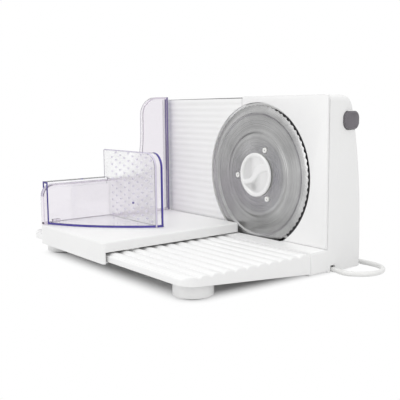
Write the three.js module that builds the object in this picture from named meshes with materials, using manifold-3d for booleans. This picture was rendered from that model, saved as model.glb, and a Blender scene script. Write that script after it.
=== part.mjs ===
// Electric food slicer: a motor housing with a wavy-edged blade, a ribbed base tray, a carriage that
// slides past the blade, a clear end guard and food pusher, and a gauge plate that sets the slice.
// Millimetres. X runs along the carriage's travel, Y runs back through the blade and Z is up.
// Pieces are placed from the blade's centre on the front face of the wall. The machine group then
// moves them, so that the origin lies on the table under the middle of the object without its cord.

import * as THREE from 'three';
import { mergeVertices } from 'three/addons/utils/BufferGeometryUtils.js';
import Module from 'manifold-3d';

const wasm = await Module();
wasm.setup();

// Place of the blade's centre in the object's frame, in plan
const AXIS_X = 48;
const WALL_Y = 57.5;

// Gap between pieces that touch, wall of the mouldings, and how far cuts and joined solids run over
const FIT = 0.3;
const WALL = 2.5;
const OVERRUN = 1;

// Straight sides of round pieces, by size
const WIDE_ROUND_STEPS = 48;
const LARGE_ROUND_STEPS = 36;
const ROUND_STEPS = 24;
const SHAFT_ROUND_STEPS = 16;
const SMALL_ROUND_STEPS = 10;

// Blade: pressed sheet with a sunk ring, a ground rim and a wavy edge
const BLADE_R = 75;
const BLADE_SHEET = 1.2;
const BLADE_FRONT = -0.4;
const BLADE_WAVES = 72;
const WAVE_DEPTH = 0.8;
const GROUND_RIM = 5;
const RING_OUTER_R = 65.3;
const RING_INNER_R = 45.5;
const RING_DEPTH = 1.2;
const RING_SLOPE = 1;
const RUNNING_GAP = 2.5;

// Blade lock knob
const LOCK_R = 23.6;
const LOCK_THICK = 2.6;
const LOCK_RIM = 2.6;
const LOCK_BAR = 9;
const LOCK_BAR_TILT = 40;
const LOCK_FLOOR = 0.8;
const LOCK_STEM_R = 12;
const LOCK_STEM = 9;

// Worm wheel with the blade carrier
const GEAR_TEETH = 36;
const GEAR_MODULE = 2;
const GEAR_WIDTH = 12;
const TOOTH_ADDENDUM = 1.2;
const TOOTH_DEDENDUM = 2.1;
const TOOTH_ROOT_THICK = 3.2;
const TOOTH_TIP_THICK = 1.8;
const CARRIER_R = 38;
const CARRIER_THICK = 3.9;
const HUB_R = 15;
const HUB_TAIL = 2.5;
const PEG_R = 2.9;
const PEG_CIRCLE_R = 30;
const PEG_PROUD = 0.9;
const PEG_DIMPLE_R = 0.9;
const PEG_DIMPLE_DEEP = 2;
const PEG_COUNT = 3;
const PEG_TURN = 64;
const SPINDLE_R = 5;
const SPINDLE_BOSS_WALL = 4;
const SPINDLE_SEAT = 4;

// Worm shaft and motor
const WORM_PITCH_R = 8;
const WORM_CORE_R = 6.4;
const THREAD_R = 1.5;
const THREAD_SINK = 0.4;
const THREAD_TURNS = 3;
const THREAD_STEPS = 12;
const WORM_LENGTH = 28;
const SHAFT_R = 3;
const SHAFT_TAIL = 16;
const BEARING_LENGTH = 8;
const BEARING_WIDE = 9;
const BEARING_RISE = 6;
const MOTOR_CLEARANCE = 4.05;
const MOTOR_LENGTH = 54;
const MOTOR_FRONT_X = 36;
const MOTOR_BORE = 10;
const MOTOR_EDGE = 1.5;
const MOTOR_NOSE_R = 8;
const MOTOR_NOSE = 3;
const MOTOR_CAP = 4.5;
const MOTOR_CAP_INSET = 1;
const MOTOR_CAP_EDGE = 2;
const SADDLE_DROP = 6.3;
const SADDLE_LENGTH = 34;
const STRAP_WIDTH = 10;
const STRAP_THICK = 1.2;

// Housing
const HOUSING_RIGHT = 100;
const HOUSING_ABOVE_BLADE = 9;
const HOUSING_DEPTH = 54;
const HOUSING_LIFT = 1.5;
const END_ROUND = 6;
const END_ROUND_STEPS = 3;
const LEDGE_ROUND = 2.5;
const SHOULDER_DEPTH = 30;
const SHOULDER_BACK = 14.5;
const SHOULDER_DROP = 16;
const SHOULDER_BROW = 17;
const REAR_LEAN = 5;
const REAR_LEAN_TOP = 30;
const REAR_LEAN_FOOT = -10;
const BASE_LEFT = -160;
const LEDGE_HEIGHT = 24.9;
const BLADE_DIP = 8.4;
const LEDGE_DEPTH = 22;
const BAY_DEPTH = 21;
const WING_LEFT = -130;
const WING_TOP = 60;
const DRUM_GAP = 1;

// Front panel
const PANEL_THICK = 2.2;
const PANEL_GROOVE = 0.4;
const PANEL_LEFT = -23.5;
const PANEL_INSET = 0.6;
const COLLAR_WALL = 2.2;
const DISH_DEPTH = 3.2;
const DISH_THICK = 2.2;
const HUB_GAP = 2;

// Base cover and rear feet
const COVER_THICK = 2;
const COVER_RECESS = 7;
const COVER_GAP = 0.4;
const REAR_FOOT_R = 9;
const REAR_FOOT_X = [-145, 84];
const REAR_FOOT_INSET = 18;
const BOSS_R = 4.5;
const BOSS_LINK = 4;
const FRONT_SCREW_X = [-140, 50];
const FRONT_SCREW_INSET = 14;
const REAR_SCREW_X = [-115, 24];
const REAR_SCREW_INSET = 8;

// Base tray and front feet
const TRAY_LEFT = -200;
const TRAY_RIGHT = 100;
const TRAY_FRONT = -172;
const TRAY_SEAM = 0.4;
const TRAY_STEP = 0.4;
const TRAY_PLATE = 2.5;
const TRAY_CORNER_R = 14;
const TRAY_FRONT_DROP = 8;
const TRAY_REAR_DROP = 22;
const TRAY_RIBS = 11;
const TRAY_RIB_PITCH = 13.4;
const TRAY_RIB_WIDTH = 10;
const TRAY_RIB_HIGH = 1.8;
const FOOT_R = 18.4;
const FOOT_SIDE_INSET = 25.5;
const FOOT_FRONT_INSET = 27.5;
const PAD_R = 14;
const PAD_SINK = 2;
const PAD_PROUD = 1.5;
const TRAY_SCREW_X = [-120, 40];
const TRAY_SCREW_DROP = 10.5;

// Carriage
const TABLE_LEFT = -165;
const TABLE_RIGHT = -25;
const TABLE_RISE = 11.5;
const TABLE_THICK = 10;
const TABLE_REAR = -3.2;
const TABLE_FRONT_GAP = 2.5;
const TABLE_CORNER_R = 4;
const TABLE_EDGE = 1.5;
const SKIRT_DROP = 21.5;
const SKIRT_LIP = 4.5;
const RUNNER_INSET = 30;
const RUNNER_WIDE = 15.4;

// End guard on the carriage
const GUARD_INSET = 1;
const GUARD_SHEET = 2.5;
const GUARD_RIM_WIDE = 6.5;
const GUARD_RIM_THICK = 2;
const GUARD_ABOVE = 1.5;
const GUARD_REAR = -4;
const GUARD_SHIELD = 38;
const GUARD_ROUND_R = 22;
const GUARD_LOW_TOP = -10;
const GUARD_FLARE_TOP = 45;
const GUARD_FLARE_Y = -64;
const GUARD_FLARE_PULL = 1;
const GUARD_NOSE_R = 14;
const GUARD_SCREW_REAR_INSET = 26.8;
const GUARD_SCREW_FRONT_INSET = 17;
const GUARD_BOSS = 9;

// Food pusher
const PUSHER_WALL = 2;
const PUSHER_PLATE_Y = -93;
const PUSHER_RIGHT = -58;
const PUSHER_TOP = 25;
const PUSHER_CORNER_R = 16;
const PUSHER_FLANGE = 8;
const PUSHER_FLANGE_TOP = 20;
const PUSHER_BOW_X = 8;
const PUSHER_BOW_Y = 20;
const HOOK_DROP = 8.5;
const SPIKE_R = 1;
const SPIKE_LONG = 2.2;
const SPIKE_COLUMNS = 9;
const SPIKE_ROWS = 8;
const SPIKE_PITCH_X = 9;
const SPIKE_PITCH_Z = 8;
const SPIKE_SIDE_INSET = 6.3;
const SPIKE_TOP_INSET = 6.4;

// Gauge plate, its slide and the thickness cam
const GAUGE_LEFT_STRAIGHT = -165;
const GAUGE_RIGHT = -24.5;
const GAUGE_BELOW_TOP = 2;
const GAUGE_DROP = 8;
const GAUGE_THICK = 3;
const GAUGE_CURL_R = 40;
const GAUGE_CURL_ANGLE = 40;
const GAUGE_RIB_PITCH = 7;
const GAUGE_RIB_DEEP = 0.7;
const GAUGE_RIB_FOOT = 4.5;
const GAUGE_RIB_CREST = 2.5;
const GAUGE_TRAVEL = 12;
const SLIDE_X = -106;
const SLIDE_WIDE = 36;
const SLIDE_TOP = 34;
const SLIDE_THICK = 3;
const ROD_R = 4;
const ROD_UPPER_Z = 22;
const ROD_LOWER_RISE = 9.6;
const ROD_LENGTH = 25;
const ROD_BOSS = 18;
const SOCKET_WALL = 3;
const SOCKET_DEEP = 2.2;
const CAM_Z = -30;
const CAM_R = 11;
const CAM_FRONT_GAP = 0.5;
const CAM_LENGTH = 20;
const CAM_PIN_R = 3;
const CAM_SHAFT_R = 5;
const CAM_TURN = 300;
const GROOVE_R = 2.3;
const GROOVE_OVERRUN = 8;
const GROOVE_STEPS = 26;
const FOLLOWER_R = 1.6;
const FOLLOWER_SINK = 0.9;
const FOLLOWER_Y = 28;
const ARM_SIZE = 6;
const KNOB_R = 22.5;
const KNOB_THICK = 7.5;
const KNOB_FLUTES = 18;
const KNOB_FLUTE_DEEP = 1.4;
const KNOB_GAP = 0.5;

// Switch
const BUTTON_INSET = 20;
const BUTTON_Z = 59;
const BUTTON_WIDE = 24;
const BUTTON_HIGH = 18;
const BUTTON_CORNER_R = 7;
const BUTTON_PROUD = 4;
const BUTTON_DEEP = 14;
const BUTTON_DOME = 3;
const BUTTON_CLEARANCE = 0.5;
const BUTTON_TRAVEL = 3;
const STEM_R = 2.5;
const STEM_LONG = 6;
const STEM_INSET = 27;
const SWITCH_LONG = 20;
const SWITCH_WIDE = 15;
const SWITCH_HIGH = 15;
const SHELF_THICK = 2.5;
const SHELF_BEHIND = 8;
const SHELF_BEFORE = 2;

// Screws
const SCREW_R = 1.6;
const SCREW_HEAD_R = 2.8;
const SCREW_HEAD = 1.8;
const SCREW_CLEARANCE = 0.3;
const SCREW_LONG = 9;

// Cord, its coil, tie and plug
const CORD_R = 2.5;
const CORD_LIFT = 0.3;
const CORD_Y = 10;
const NOTCH_WIDE = 7.2;
const NOTCH_HIGH = 8.2;
const CLAMP_LONG = 16;
const CLAMP_WIDE = 16;
const SLEEVE_LONG = 22;
const SLEEVE_R = 3.6;
const SLEEVE_COLLAR = 4;
const CORD_LEAD = 8;
const CORD_BEND_R = 26;
const CORD_BEND_STEPS = 10;
const CORD_RUN_STEPS = 8;
const CORD_STEPS = 40;
const COIL_X = -75;
const COIL_LIFT = 1.3;
const COIL_OUTER_R = 38.5;
const COIL_PITCH = 5.6;
const COIL_LOOPS = 3;
const COIL_CLIMB = 0.5;
const COIL_STEPS = 24;
const COIL_TAIL = 31;
const COIL_TAIL_DRIFT = 0.4;
const TIE_THICK = 0.8;
const TIE_WIDE = 8;
const TIE_GAP = 0.5;
const PLUG_LONG = 34;
const PLUG_WIDE = 26;
const PLUG_NECK = 10;
const PLUG_SHOULDER = 18.7;
const PLUG_EDGE = 2;
const PIN_R = 2;
const PIN_LONG = 18;
const PIN_APART = 18.6;

// Values that follow from the sizes above
const LEDGE_TOP = BLADE_DIP - BLADE_R;
const AXIS_HEIGHT = LEDGE_HEIGHT - LEDGE_TOP;
const FLOOR = -AXIS_HEIGHT;
const HOUSING_TOP = BLADE_R + HOUSING_ABOVE_BLADE;
const SHOULDER_Y = HOUSING_DEPTH - SHOULDER_DEPTH;
const REAR_FOOT_Y = HOUSING_DEPTH - REAR_FOOT_INSET;
const BUTTON_Y = HOUSING_DEPTH - BUTTON_INSET;
const STEM_Y = HOUSING_DEPTH - STEM_INSET;
const ROD_Z = [ROD_UPPER_Z, LEDGE_TOP + ROD_LOWER_RISE];
const TRAY_TOP = LEDGE_TOP - TRAY_STEP;
const TABLE_TOP = TRAY_TOP + TABLE_RISE;
const GUARD_TOP = HOUSING_TOP + GUARD_ABOVE;
const GAUGE_TOP = HOUSING_TOP - GAUGE_BELOW_TOP;
const GAUGE_BOTTOM = TABLE_TOP - GAUGE_DROP;
const COVER_SCREW_PLACES = [
  ...FRONT_SCREW_X.map((x) => [x, -LEDGE_DEPTH + FRONT_SCREW_INSET]),
  ...REAR_SCREW_X.map((x) => [x, HOUSING_DEPTH - REAR_SCREW_INSET]),
];
const HOUSING_BOTTOM = FLOOR + HOUSING_LIFT;
const HOUSING_EDGE = PANEL_THICK + PANEL_GROOVE;
const OPENING_R = BLADE_R + RUNNING_GAP;
const DRUM_R = OPENING_R - DRUM_GAP;
const DISH_BACK = DISH_DEPTH + DISH_THICK;
const GEAR_Y = (DISH_BACK + HOUSING_DEPTH - WALL) / 2;
const MOTOR_R = GEAR_Y - DISH_BACK - MOTOR_CLEARANCE;
const COVER_TOP = HOUSING_BOTTOM + COVER_RECESS + COVER_THICK;
const COVER_UNDER = HOUSING_BOTTOM + COVER_RECESS;
const TRAY_REAR = -LEDGE_DEPTH - TRAY_SEAM;
const TRAY_UNDER = TRAY_TOP - TRAY_RIB_HIGH - TRAY_PLATE;
const TABLE_BOTTOM = TABLE_TOP - TABLE_THICK;
const TABLE_FRONT = TRAY_FRONT - TABLE_FRONT_GAP - WALL;
const BLADE_BACK = BLADE_FRONT + BLADE_SHEET;
const CARRIER_FRONT = BLADE_BACK + FIT;
const GEAR_PITCH_R = GEAR_TEETH * GEAR_MODULE / 2;
const WORM_Z = -(GEAR_PITCH_R + WORM_PITCH_R);
const WORM_LEAD = Math.PI * GEAR_MODULE;
const HUB_REAR = GEAR_Y + GEAR_WIDTH / 2 + HUB_TAIL;
const SPINDLE_FRONT = BLADE_FRONT + LOCK_STEM + OVERRUN;
const SPINDLE_REAR = HOUSING_DEPTH - WALL - SPINDLE_SEAT;
const GUARD_LEFT = TABLE_LEFT + GUARD_INSET;
const GUARD_INNER = GUARD_LEFT + GUARD_RIM_WIDE;
const GUARD_SCREW_X = (GUARD_LEFT + GUARD_INNER) / 2;
const GUARD_SCREW_Y = [TABLE_REAR - GUARD_SCREW_REAR_INSET, TABLE_FRONT + GUARD_SCREW_FRONT_INSET];
const GUARD_FOOT = TABLE_TOP + FIT;
const GUARD_FRONT = TABLE_FRONT + GUARD_INSET;
const PUSHER_FOOT = TABLE_TOP + FIT;
const PUSHER_FRONT = TRAY_FRONT;
const HOOK_TOP = GUARD_LOW_TOP + FIT + PUSHER_WALL;
const HOOK_LEFT = GUARD_LEFT - FIT - PUSHER_WALL;
const PUSHER_WALL_X = GUARD_INNER + FIT;
const PUSHER_PLATE_REAR = PUSHER_PLATE_Y + PUSHER_WALL;
const GAUGE_STEP = GAUGE_TRAVEL / THREE.MathUtils.degToRad(CAM_TURN);
const ARM_RIGHT = SLIDE_X - CAM_R - GROOVE_R;
const CORD_Z = FLOOR + CORD_LIFT + CORD_R;
const COIL_Z = FLOOR + COIL_LIFT + CORD_R;
const CORD_RUN_Y = CORD_Y + 2 * CORD_BEND_R;
const COIL_Y = CORD_RUN_Y + COIL_OUTER_R;
const SLEEVE_END = HOUSING_RIGHT - WALL - FIT;
const CLAMP_RIGHT = SLEEVE_END - SLEEVE_LONG - FIT;

// Materials of the object
const whitePlastic = { color: 0xf0f0ef, roughness: 0.42, metalness: 0 };
const clearPlastic = { color: 0xddd6ee, roughness: 0.08, metalness: 0, transparent: true, opacity: 0.4 };
const darkPlastic = { color: 0x5f5b60, roughness: 0.6, metalness: 0 };
const nylon = { color: 0xe6e1d3, roughness: 0.5, metalness: 0 };
const steel = { color: 0xb4b6b8, roughness: 0.28, metalness: 1 };
const zincSteel = { color: 0x9fa3a6, roughness: 0.4, metalness: 1 };
const rubber = { color: 0x2c2c2e, roughness: 0.85, metalness: 0 };
const whiteCord = { color: 0xececea, roughness: 0.5, metalness: 0 };

// Mesh and solid conversion
function solid(geometry) {
  const bare = geometry.index ? geometry.toNonIndexed() : geometry.clone();
  bare.deleteAttribute('normal');
  bare.deleteAttribute('uv');
  const merged = mergeVertices(bare, 1e-4);
  const triangles = [];
  for (let i = 0; i < merged.index.count; i += 3) {
    const [a, b, c] = [0, 1, 2].map((k) => merged.index.getX(i + k));
    if (a !== b && b !== c && c !== a) triangles.push(a, b, c);
  }
  return new wasm.Manifold(new wasm.Mesh({
    numProp: 3,
    vertProperties: new Float32Array(merged.attributes.position.array),
    triVerts: new Uint32Array(triangles),
  }));
}

function bufferGeometry(body) {
  const mesh = body.getMesh();
  const geometry = new THREE.BufferGeometry();
  geometry.setAttribute('position', new THREE.BufferAttribute(mesh.vertProperties, 3));
  geometry.setIndex(new THREE.BufferAttribute(mesh.triVerts, 1));
  geometry.computeVertexNormals();
  return geometry;
}

const machine = new THREE.Group();
machine.position.set(AXIS_X, WALL_Y, AXIS_HEIGHT);

function addPart(name, body, look) {
  const mesh = new THREE.Mesh(bufferGeometry(body), new THREE.MeshStandardMaterial(look));
  mesh.name = name;
  machine.add(mesh);
}

// Basic solids
function block([x0, x1], [y0, y1], [z0, z1]) {
  const geometry = new THREE.BoxGeometry(x1 - x0, y1 - y0, z1 - z0);
  return solid(geometry.translate((x0 + x1) / 2, (y0 + y1) / 2, (z0 + z1) / 2));
}

function rodX(radius, [x0, x1], y, z, steps = ROUND_STEPS) {
  const geometry = new THREE.CylinderGeometry(radius, radius, x1 - x0, steps).rotateZ(Math.PI / 2);
  return solid(geometry.translate((x0 + x1) / 2, y, z));
}

function rodY(radius, [y0, y1], x, z, steps = ROUND_STEPS) {
  const geometry = new THREE.CylinderGeometry(radius, radius, y1 - y0, steps);
  return solid(geometry.translate(x, (y0 + y1) / 2, z));
}

function rodZ(radius, [z0, z1], x, y, steps = ROUND_STEPS) {
  const geometry = new THREE.CylinderGeometry(radius, radius, z1 - z0, steps).rotateX(Math.PI / 2);
  return solid(geometry.translate(x, y, (z0 + z1) / 2));
}

// Extrusions: a shape drawn in (y, z) runs along X, one in (x, z) along Y and one in (x, y) along Z
const ALONG_X = new THREE.Matrix4().makeBasis(
  new THREE.Vector3(0, 1, 0), new THREE.Vector3(0, 0, 1), new THREE.Vector3(1, 0, 0));
const ALONG_Y = new THREE.Matrix4().makeBasis(
  new THREE.Vector3(1, 0, 0), new THREE.Vector3(0, 0, 1), new THREE.Vector3(0, -1, 0));

function extrusion(shape, depth, edge, edgeSteps) {
  const bevel = {
    bevelEnabled: edge > 0, bevelThickness: edge, bevelSize: edge, bevelOffset: -edge,
    bevelSegments: edgeSteps,
  };
  const geometry = new THREE.ExtrudeGeometry(shape, { depth: depth - 2 * edge, curveSegments: 6, ...bevel });
  return geometry.translate(0, 0, edge);
}

function alongX(shape, [x0, x1], edge = 0, edgeSteps = 2) {
  return solid(extrusion(shape, x1 - x0, edge, edgeSteps).applyMatrix4(ALONG_X).translate(x0, 0, 0));
}

function alongY(shape, [y0, y1], edge = 0, edgeSteps = 2) {
  return solid(extrusion(shape, y1 - y0, edge, edgeSteps).applyMatrix4(ALONG_Y).translate(0, y1, 0));
}

function alongZ(shape, [z0, z1], edge = 0, edgeSteps = 2) {
  return solid(extrusion(shape, z1 - z0, edge, edgeSteps).translate(0, 0, z0));
}

// Turned pieces: a profile of [radius, distance] pairs turned round the Y axis, or laid along X
function turned(profile, steps = ROUND_STEPS) {
  const points = profile.map(([radius, along]) => new THREE.Vector2(radius, along));
  return new THREE.LatheGeometry([...points, points[0]], steps);
}

function turnedX(profile, y, z, steps = ROUND_STEPS) {
  return solid(turned(profile, steps).rotateZ(-Math.PI / 2).translate(0, y, z));
}

function polygon(points) {
  return new THREE.Shape(points.map(([a, b]) => new THREE.Vector2(a, b)));
}

function roundedRectangle(x0, x1, y0, y1, radius) {
  const shape = new THREE.Shape();
  shape.moveTo(x0 + radius, y0);
  shape.lineTo(x1 - radius, y0);
  shape.absarc(x1 - radius, y0 + radius, radius, -Math.PI / 2, 0);
  shape.lineTo(x1, y1 - radius);
  shape.absarc(x1 - radius, y1 - radius, radius, 0, Math.PI / 2);
  shape.lineTo(x0 + radius, y1);
  shape.absarc(x0 + radius, y1 - radius, radius, Math.PI / 2, Math.PI);
  shape.lineTo(x0, y0 + radius);
  shape.absarc(x0 + radius, y0 + radius, radius, Math.PI, 1.5 * Math.PI);
  return shape;
}

// A tube of round section along a list of points
function tube(points, radius, sides, steps) {
  const path = new THREE.CatmullRomCurve3(points, false, 'centripetal');
  const section = new THREE.Shape();
  for (let i = 0; i < sides; i += 1) {
    const angle = 2 * Math.PI * i / sides;
    const corner = [radius * Math.cos(angle), radius * Math.sin(angle)];
    if (i === 0) section.moveTo(...corner);
    else section.lineTo(...corner);
  }
  return new THREE.ExtrudeGeometry(section, { steps, extrudePath: path, bevelEnabled: false });
}

// A screw along Z or Y: pan head and plain shank, with the head's free face first
function screwZ(x, y, headFace) {
  const neck = headFace + SCREW_HEAD;
  const head = rodZ(SCREW_HEAD_R, [headFace, neck], x, y, SMALL_ROUND_STEPS);
  return head.add(rodZ(SCREW_R, [neck - OVERRUN, neck + SCREW_LONG], x, y, SMALL_ROUND_STEPS));
}

function screwHoleZ(x, y, [z0, z1]) {
  return rodZ(SCREW_R + SCREW_CLEARANCE, [z0, z1], x, y, SMALL_ROUND_STEPS);
}

// Housing: seen from the end, the tower has a straight front, a leaning rear and a rounded shoulder.
// The profile runs past its front and foot by the margin, which is cut off once the end is rounded.
function endProfile(inset, margin) {
  const front = HOUSING_EDGE - margin;
  const foot = HOUSING_BOTTOM - margin;
  const rear = HOUSING_DEPTH - inset;
  const top = HOUSING_TOP - inset;
  const shape = new THREE.Shape();
  shape.moveTo(front, foot);
  shape.lineTo(rear, foot);
  shape.lineTo(rear, LEDGE_TOP - inset);
  shape.bezierCurveTo(
    rear, REAR_LEAN_FOOT, rear - REAR_LEAN, REAR_LEAN_TOP, rear - SHOULDER_BACK, top - SHOULDER_DROP);
  shape.quadraticCurveTo(rear - SHOULDER_BROW, top, SHOULDER_Y - inset, top);
  shape.lineTo(front, top);
  shape.closePath();
  return shape;
}

function baseProfile(inset, rear) {
  const front = -LEDGE_DEPTH + inset;
  const top = LEDGE_TOP - inset;
  return polygon([[front, HOUSING_BOTTOM], [rear, HOUSING_BOTTOM], [rear, top], [front, top]]);
}

function housingMass(inset, endRound, ledgeRound) {
  const profile = endProfile(inset, endRound);
  const right = HOUSING_RIGHT - inset;
  const rear = HOUSING_DEPTH - inset;
  const upright = [HOUSING_BOTTOM, HOUSING_TOP];
  const tower = alongX(profile, [PANEL_LEFT - endRound, right], endRound, END_ROUND_STEPS)
    .intersect(block([PANEL_LEFT + inset, right], [HOUSING_EDGE + inset, HOUSING_DEPTH], upright));
  const drum = alongX(profile, [-DRUM_R, 0])
    .intersect(rodY(DRUM_R - inset, [DISH_BACK + FIT + inset, HOUSING_DEPTH], 0, 0, WIDE_ROUND_STEPS));
  const wing = alongX(profile, [WING_LEFT + inset, 0]).intersect(block(
    [WING_LEFT, 0], [BAY_DEPTH + inset, HOUSING_DEPTH], [HOUSING_BOTTOM, WING_TOP - inset]));
  const base = alongX(baseProfile(inset, rear), [BASE_LEFT + inset, 0], ledgeRound);
  const ledge = alongX(baseProfile(inset, SHOULDER_Y), [PANEL_LEFT + inset, right], ledgeRound);
  return tower.add(drum).add(wing).add(base).add(ledge);
}

function housing() {
  const mass = housingMass(0, END_ROUND, LEDGE_ROUND);
  const mouth = [LEDGE_TOP + WALL, HOUSING_TOP - WALL];
  const towerMouth = block([PANEL_LEFT + WALL, HOUSING_RIGHT - WALL], [0, HOUSING_EDGE + 2 * WALL], mouth);
  const drumMouth = rodY(DRUM_R - WALL, [0, DISH_BACK + 2 * WALL], 0, 0, WIDE_ROUND_STEPS)
    .intersect(block([-BLADE_R, PANEL_LEFT + 2 * WALL], [0, HOUSING_DEPTH], mouth));
  const coverSeat = block(
    [BASE_LEFT + WALL, HOUSING_RIGHT - WALL], [-LEDGE_DEPTH + WALL, HOUSING_DEPTH - WALL],
    [HOUSING_BOTTOM - OVERRUN, COVER_TOP + FIT]);
  const bladeSlot = rodY(OPENING_R, [-RUNNING_GAP - OVERRUN, DISH_BACK + FIT], 0, 0, WIDE_ROUND_STEPS)
    .intersect(block([-BLADE_R, BLADE_R], [-LEDGE_DEPTH, HOUSING_DEPTH], [-OPENING_R, LEDGE_TOP + 2 * WALL]));
  const collarRoom = rodY(OPENING_R + COLLAR_WALL + FIT, [0, DISH_BACK + FIT], 0, 0, WIDE_ROUND_STEPS)
    .intersect(block([PANEL_LEFT - OVERRUN, 0], [0, HOUSING_DEPTH], [0, HOUSING_TOP - WALL]));
  let shell = mass.subtract(housingMass(WALL, END_ROUND - WALL, 0)).subtract(towerMouth).subtract(drumMouth);
  shell = shell.subtract(coverSeat).subtract(bladeSlot).subtract(collarRoom);
  shell = shell.add(housingBosses().intersect(mass));
  return shell.subtract(housingHoles());
}

function housingBosses() {
  const spindleBoss = rodY(SPINDLE_R + SPINDLE_BOSS_WALL, [HUB_REAR + OVERRUN, HOUSING_DEPTH], 0, 0);
  const shelfTop = BUTTON_Z - SWITCH_HIGH / 2 - FIT;
  const buttonRear = HOUSING_RIGHT - BUTTON_DEEP;
  const shelf = block(
    [buttonRear - SWITCH_LONG - SHELF_BEHIND, buttonRear - SHELF_BEFORE],
    [STEM_Y - SWITCH_WIDE / 2, HOUSING_DEPTH], [shelfTop - SHELF_THICK, shelfTop]);
  let bosses = spindleBoss.add(shelf);
  for (const z of ROD_Z) {
    bosses = bosses.add(rodY(ROD_R + SOCKET_WALL, [BAY_DEPTH, BAY_DEPTH + ROD_BOSS], SLIDE_X, z));
  }
  for (const [x, y] of COVER_SCREW_PLACES) {
    const foot = COVER_TOP + FIT;
    bosses = bosses.add(rodZ(BOSS_R, [foot, LEDGE_TOP - OVERRUN], x, y, SHAFT_ROUND_STEPS));
    if (y < 0) continue;
    bosses = bosses.add(block(
      [x - BOSS_LINK / 2, x + BOSS_LINK / 2], [y, HOUSING_DEPTH], [foot, LEDGE_TOP - WALL]));
  }
  return bosses;
}

function housingHoles() {
  const buttonShape = roundedRectangle(
    BUTTON_Y - BUTTON_WIDE / 2 - BUTTON_CLEARANCE, BUTTON_Y + BUTTON_WIDE / 2 + BUTTON_CLEARANCE,
    BUTTON_Z - BUTTON_HIGH / 2 - BUTTON_CLEARANCE, BUTTON_Z + BUTTON_HIGH / 2 + BUTTON_CLEARANCE,
    BUTTON_CORNER_R + BUTTON_CLEARANCE);
  const buttonRear = HOUSING_RIGHT - BUTTON_DEEP - BUTTON_TRAVEL;
  let holes = alongX(buttonShape, [buttonRear - OVERRUN, HOUSING_RIGHT + BUTTON_PROUD]);
  holes = holes.add(rodY(SPINDLE_R + FIT, [0, SPINDLE_REAR], 0, 0));
  for (const z of ROD_Z) {
    holes = holes.add(rodY(ROD_R + FIT, [BAY_DEPTH - OVERRUN, BAY_DEPTH + ROD_BOSS + OVERRUN], SLIDE_X, z));
  }
  holes = holes.add(rodY(CAM_PIN_R + FIT, [BAY_DEPTH - OVERRUN, BAY_DEPTH + WALL + OVERRUN], SLIDE_X, CAM_Z));
  const shaftHole = [HOUSING_DEPTH - 4 * WALL, HOUSING_DEPTH + OVERRUN];
  holes = holes.add(rodY(CAM_SHAFT_R + FIT, shaftHole, SLIDE_X, CAM_Z));
  holes = holes.add(block(
    [ARM_RIGHT - ARM_SIZE - 2 * FIT, ARM_RIGHT + 2 * FIT], [BAY_DEPTH - OVERRUN, BAY_DEPTH + WALL + OVERRUN],
    [CAM_Z - ARM_SIZE / 2 - 2 * FIT, CAM_Z + ARM_SIZE / 2 + 2 * FIT]));
  for (const [x, y] of COVER_SCREW_PLACES) {
    holes = holes.add(screwHoleZ(x, y, [COVER_TOP, COVER_TOP + SCREW_LONG]));
  }
  for (const x of TRAY_SCREW_X) {
    holes = holes.add(rodY(SCREW_R + SCREW_CLEARANCE, [-LEDGE_DEPTH - OVERRUN, -LEDGE_DEPTH + WALL + OVERRUN],
      x, LEDGE_TOP - TRAY_SCREW_DROP, SMALL_ROUND_STEPS));
  }
  const notch = block(
    [SLEEVE_END - OVERRUN, HOUSING_RIGHT + OVERRUN], [CORD_Y - NOTCH_WIDE / 2, CORD_Y + NOTCH_WIDE / 2],
    [HOUSING_BOTTOM - OVERRUN, FLOOR + NOTCH_HIGH]);
  return holes.add(notch);
}

// Front panel: a plate with a round blade opening, a collar round it and a dish behind the blade
function frontPanel() {
  const right = HOUSING_RIGHT - PANEL_INSET;
  const top = HOUSING_TOP - PANEL_GROOVE;
  const foot = LEDGE_TOP + FIT;
  const plate = block([PANEL_LEFT, right], [0, PANEL_THICK], [foot, top]);
  const collarR = OPENING_R + COLLAR_WALL;
  const dishFoot = LEDGE_TOP + WALL + FIT;
  const rightHalf = block([PANEL_LEFT, right], [0, DISH_BACK], [dishFoot, top - COLLAR_WALL]);
  const leftHalf = block([-OPENING_R, 0], [0, DISH_BACK], [dishFoot, top]);
  const collar = rodY(collarR, [0, DISH_BACK], 0, 0, WIDE_ROUND_STEPS).intersect(rightHalf);
  const dish = rodY(DRUM_R, [DISH_DEPTH, DISH_BACK], 0, 0, WIDE_ROUND_STEPS).intersect(leftHalf);
  const recess = rodY(OPENING_R, [-OVERRUN, DISH_DEPTH], 0, 0, WIDE_ROUND_STEPS);
  const hubHole = rodY(CARRIER_R + HUB_GAP, [0, DISH_BACK + OVERRUN], 0, 0);
  return plate.add(collar).add(dish).subtract(recess).subtract(hubHole);
}

// Base cover: a plate set up into the housing from below
function baseCover() {
  const inset = WALL + COVER_GAP;
  let cover = block(
    [BASE_LEFT + inset, HOUSING_RIGHT - inset], [-LEDGE_DEPTH + inset, HOUSING_DEPTH - inset],
    [COVER_UNDER, COVER_TOP]);
  for (const [x, y] of COVER_SCREW_PLACES) {
    cover = cover.subtract(screwHoleZ(x, y, [COVER_UNDER - OVERRUN, COVER_TOP + OVERRUN]));
  }
  return cover;
}

// Base tray: a ribbed plate with a skirt that deepens towards the housing
function trayOutline(inset) {
  const left = TRAY_LEFT + inset;
  const right = TRAY_RIGHT - inset;
  const front = TRAY_FRONT + inset;
  const rear = TRAY_REAR - inset;
  const radius = TRAY_CORNER_R - inset;
  const shape = new THREE.Shape();
  shape.moveTo(left, rear);
  shape.lineTo(left, front + radius);
  shape.absarc(left + radius, front + radius, radius, Math.PI, 1.5 * Math.PI);
  shape.lineTo(right - radius, front);
  shape.absarc(right - radius, front + radius, radius, 1.5 * Math.PI, 2 * Math.PI);
  shape.lineTo(right, rear);
  shape.closePath();
  return shape;
}

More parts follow.
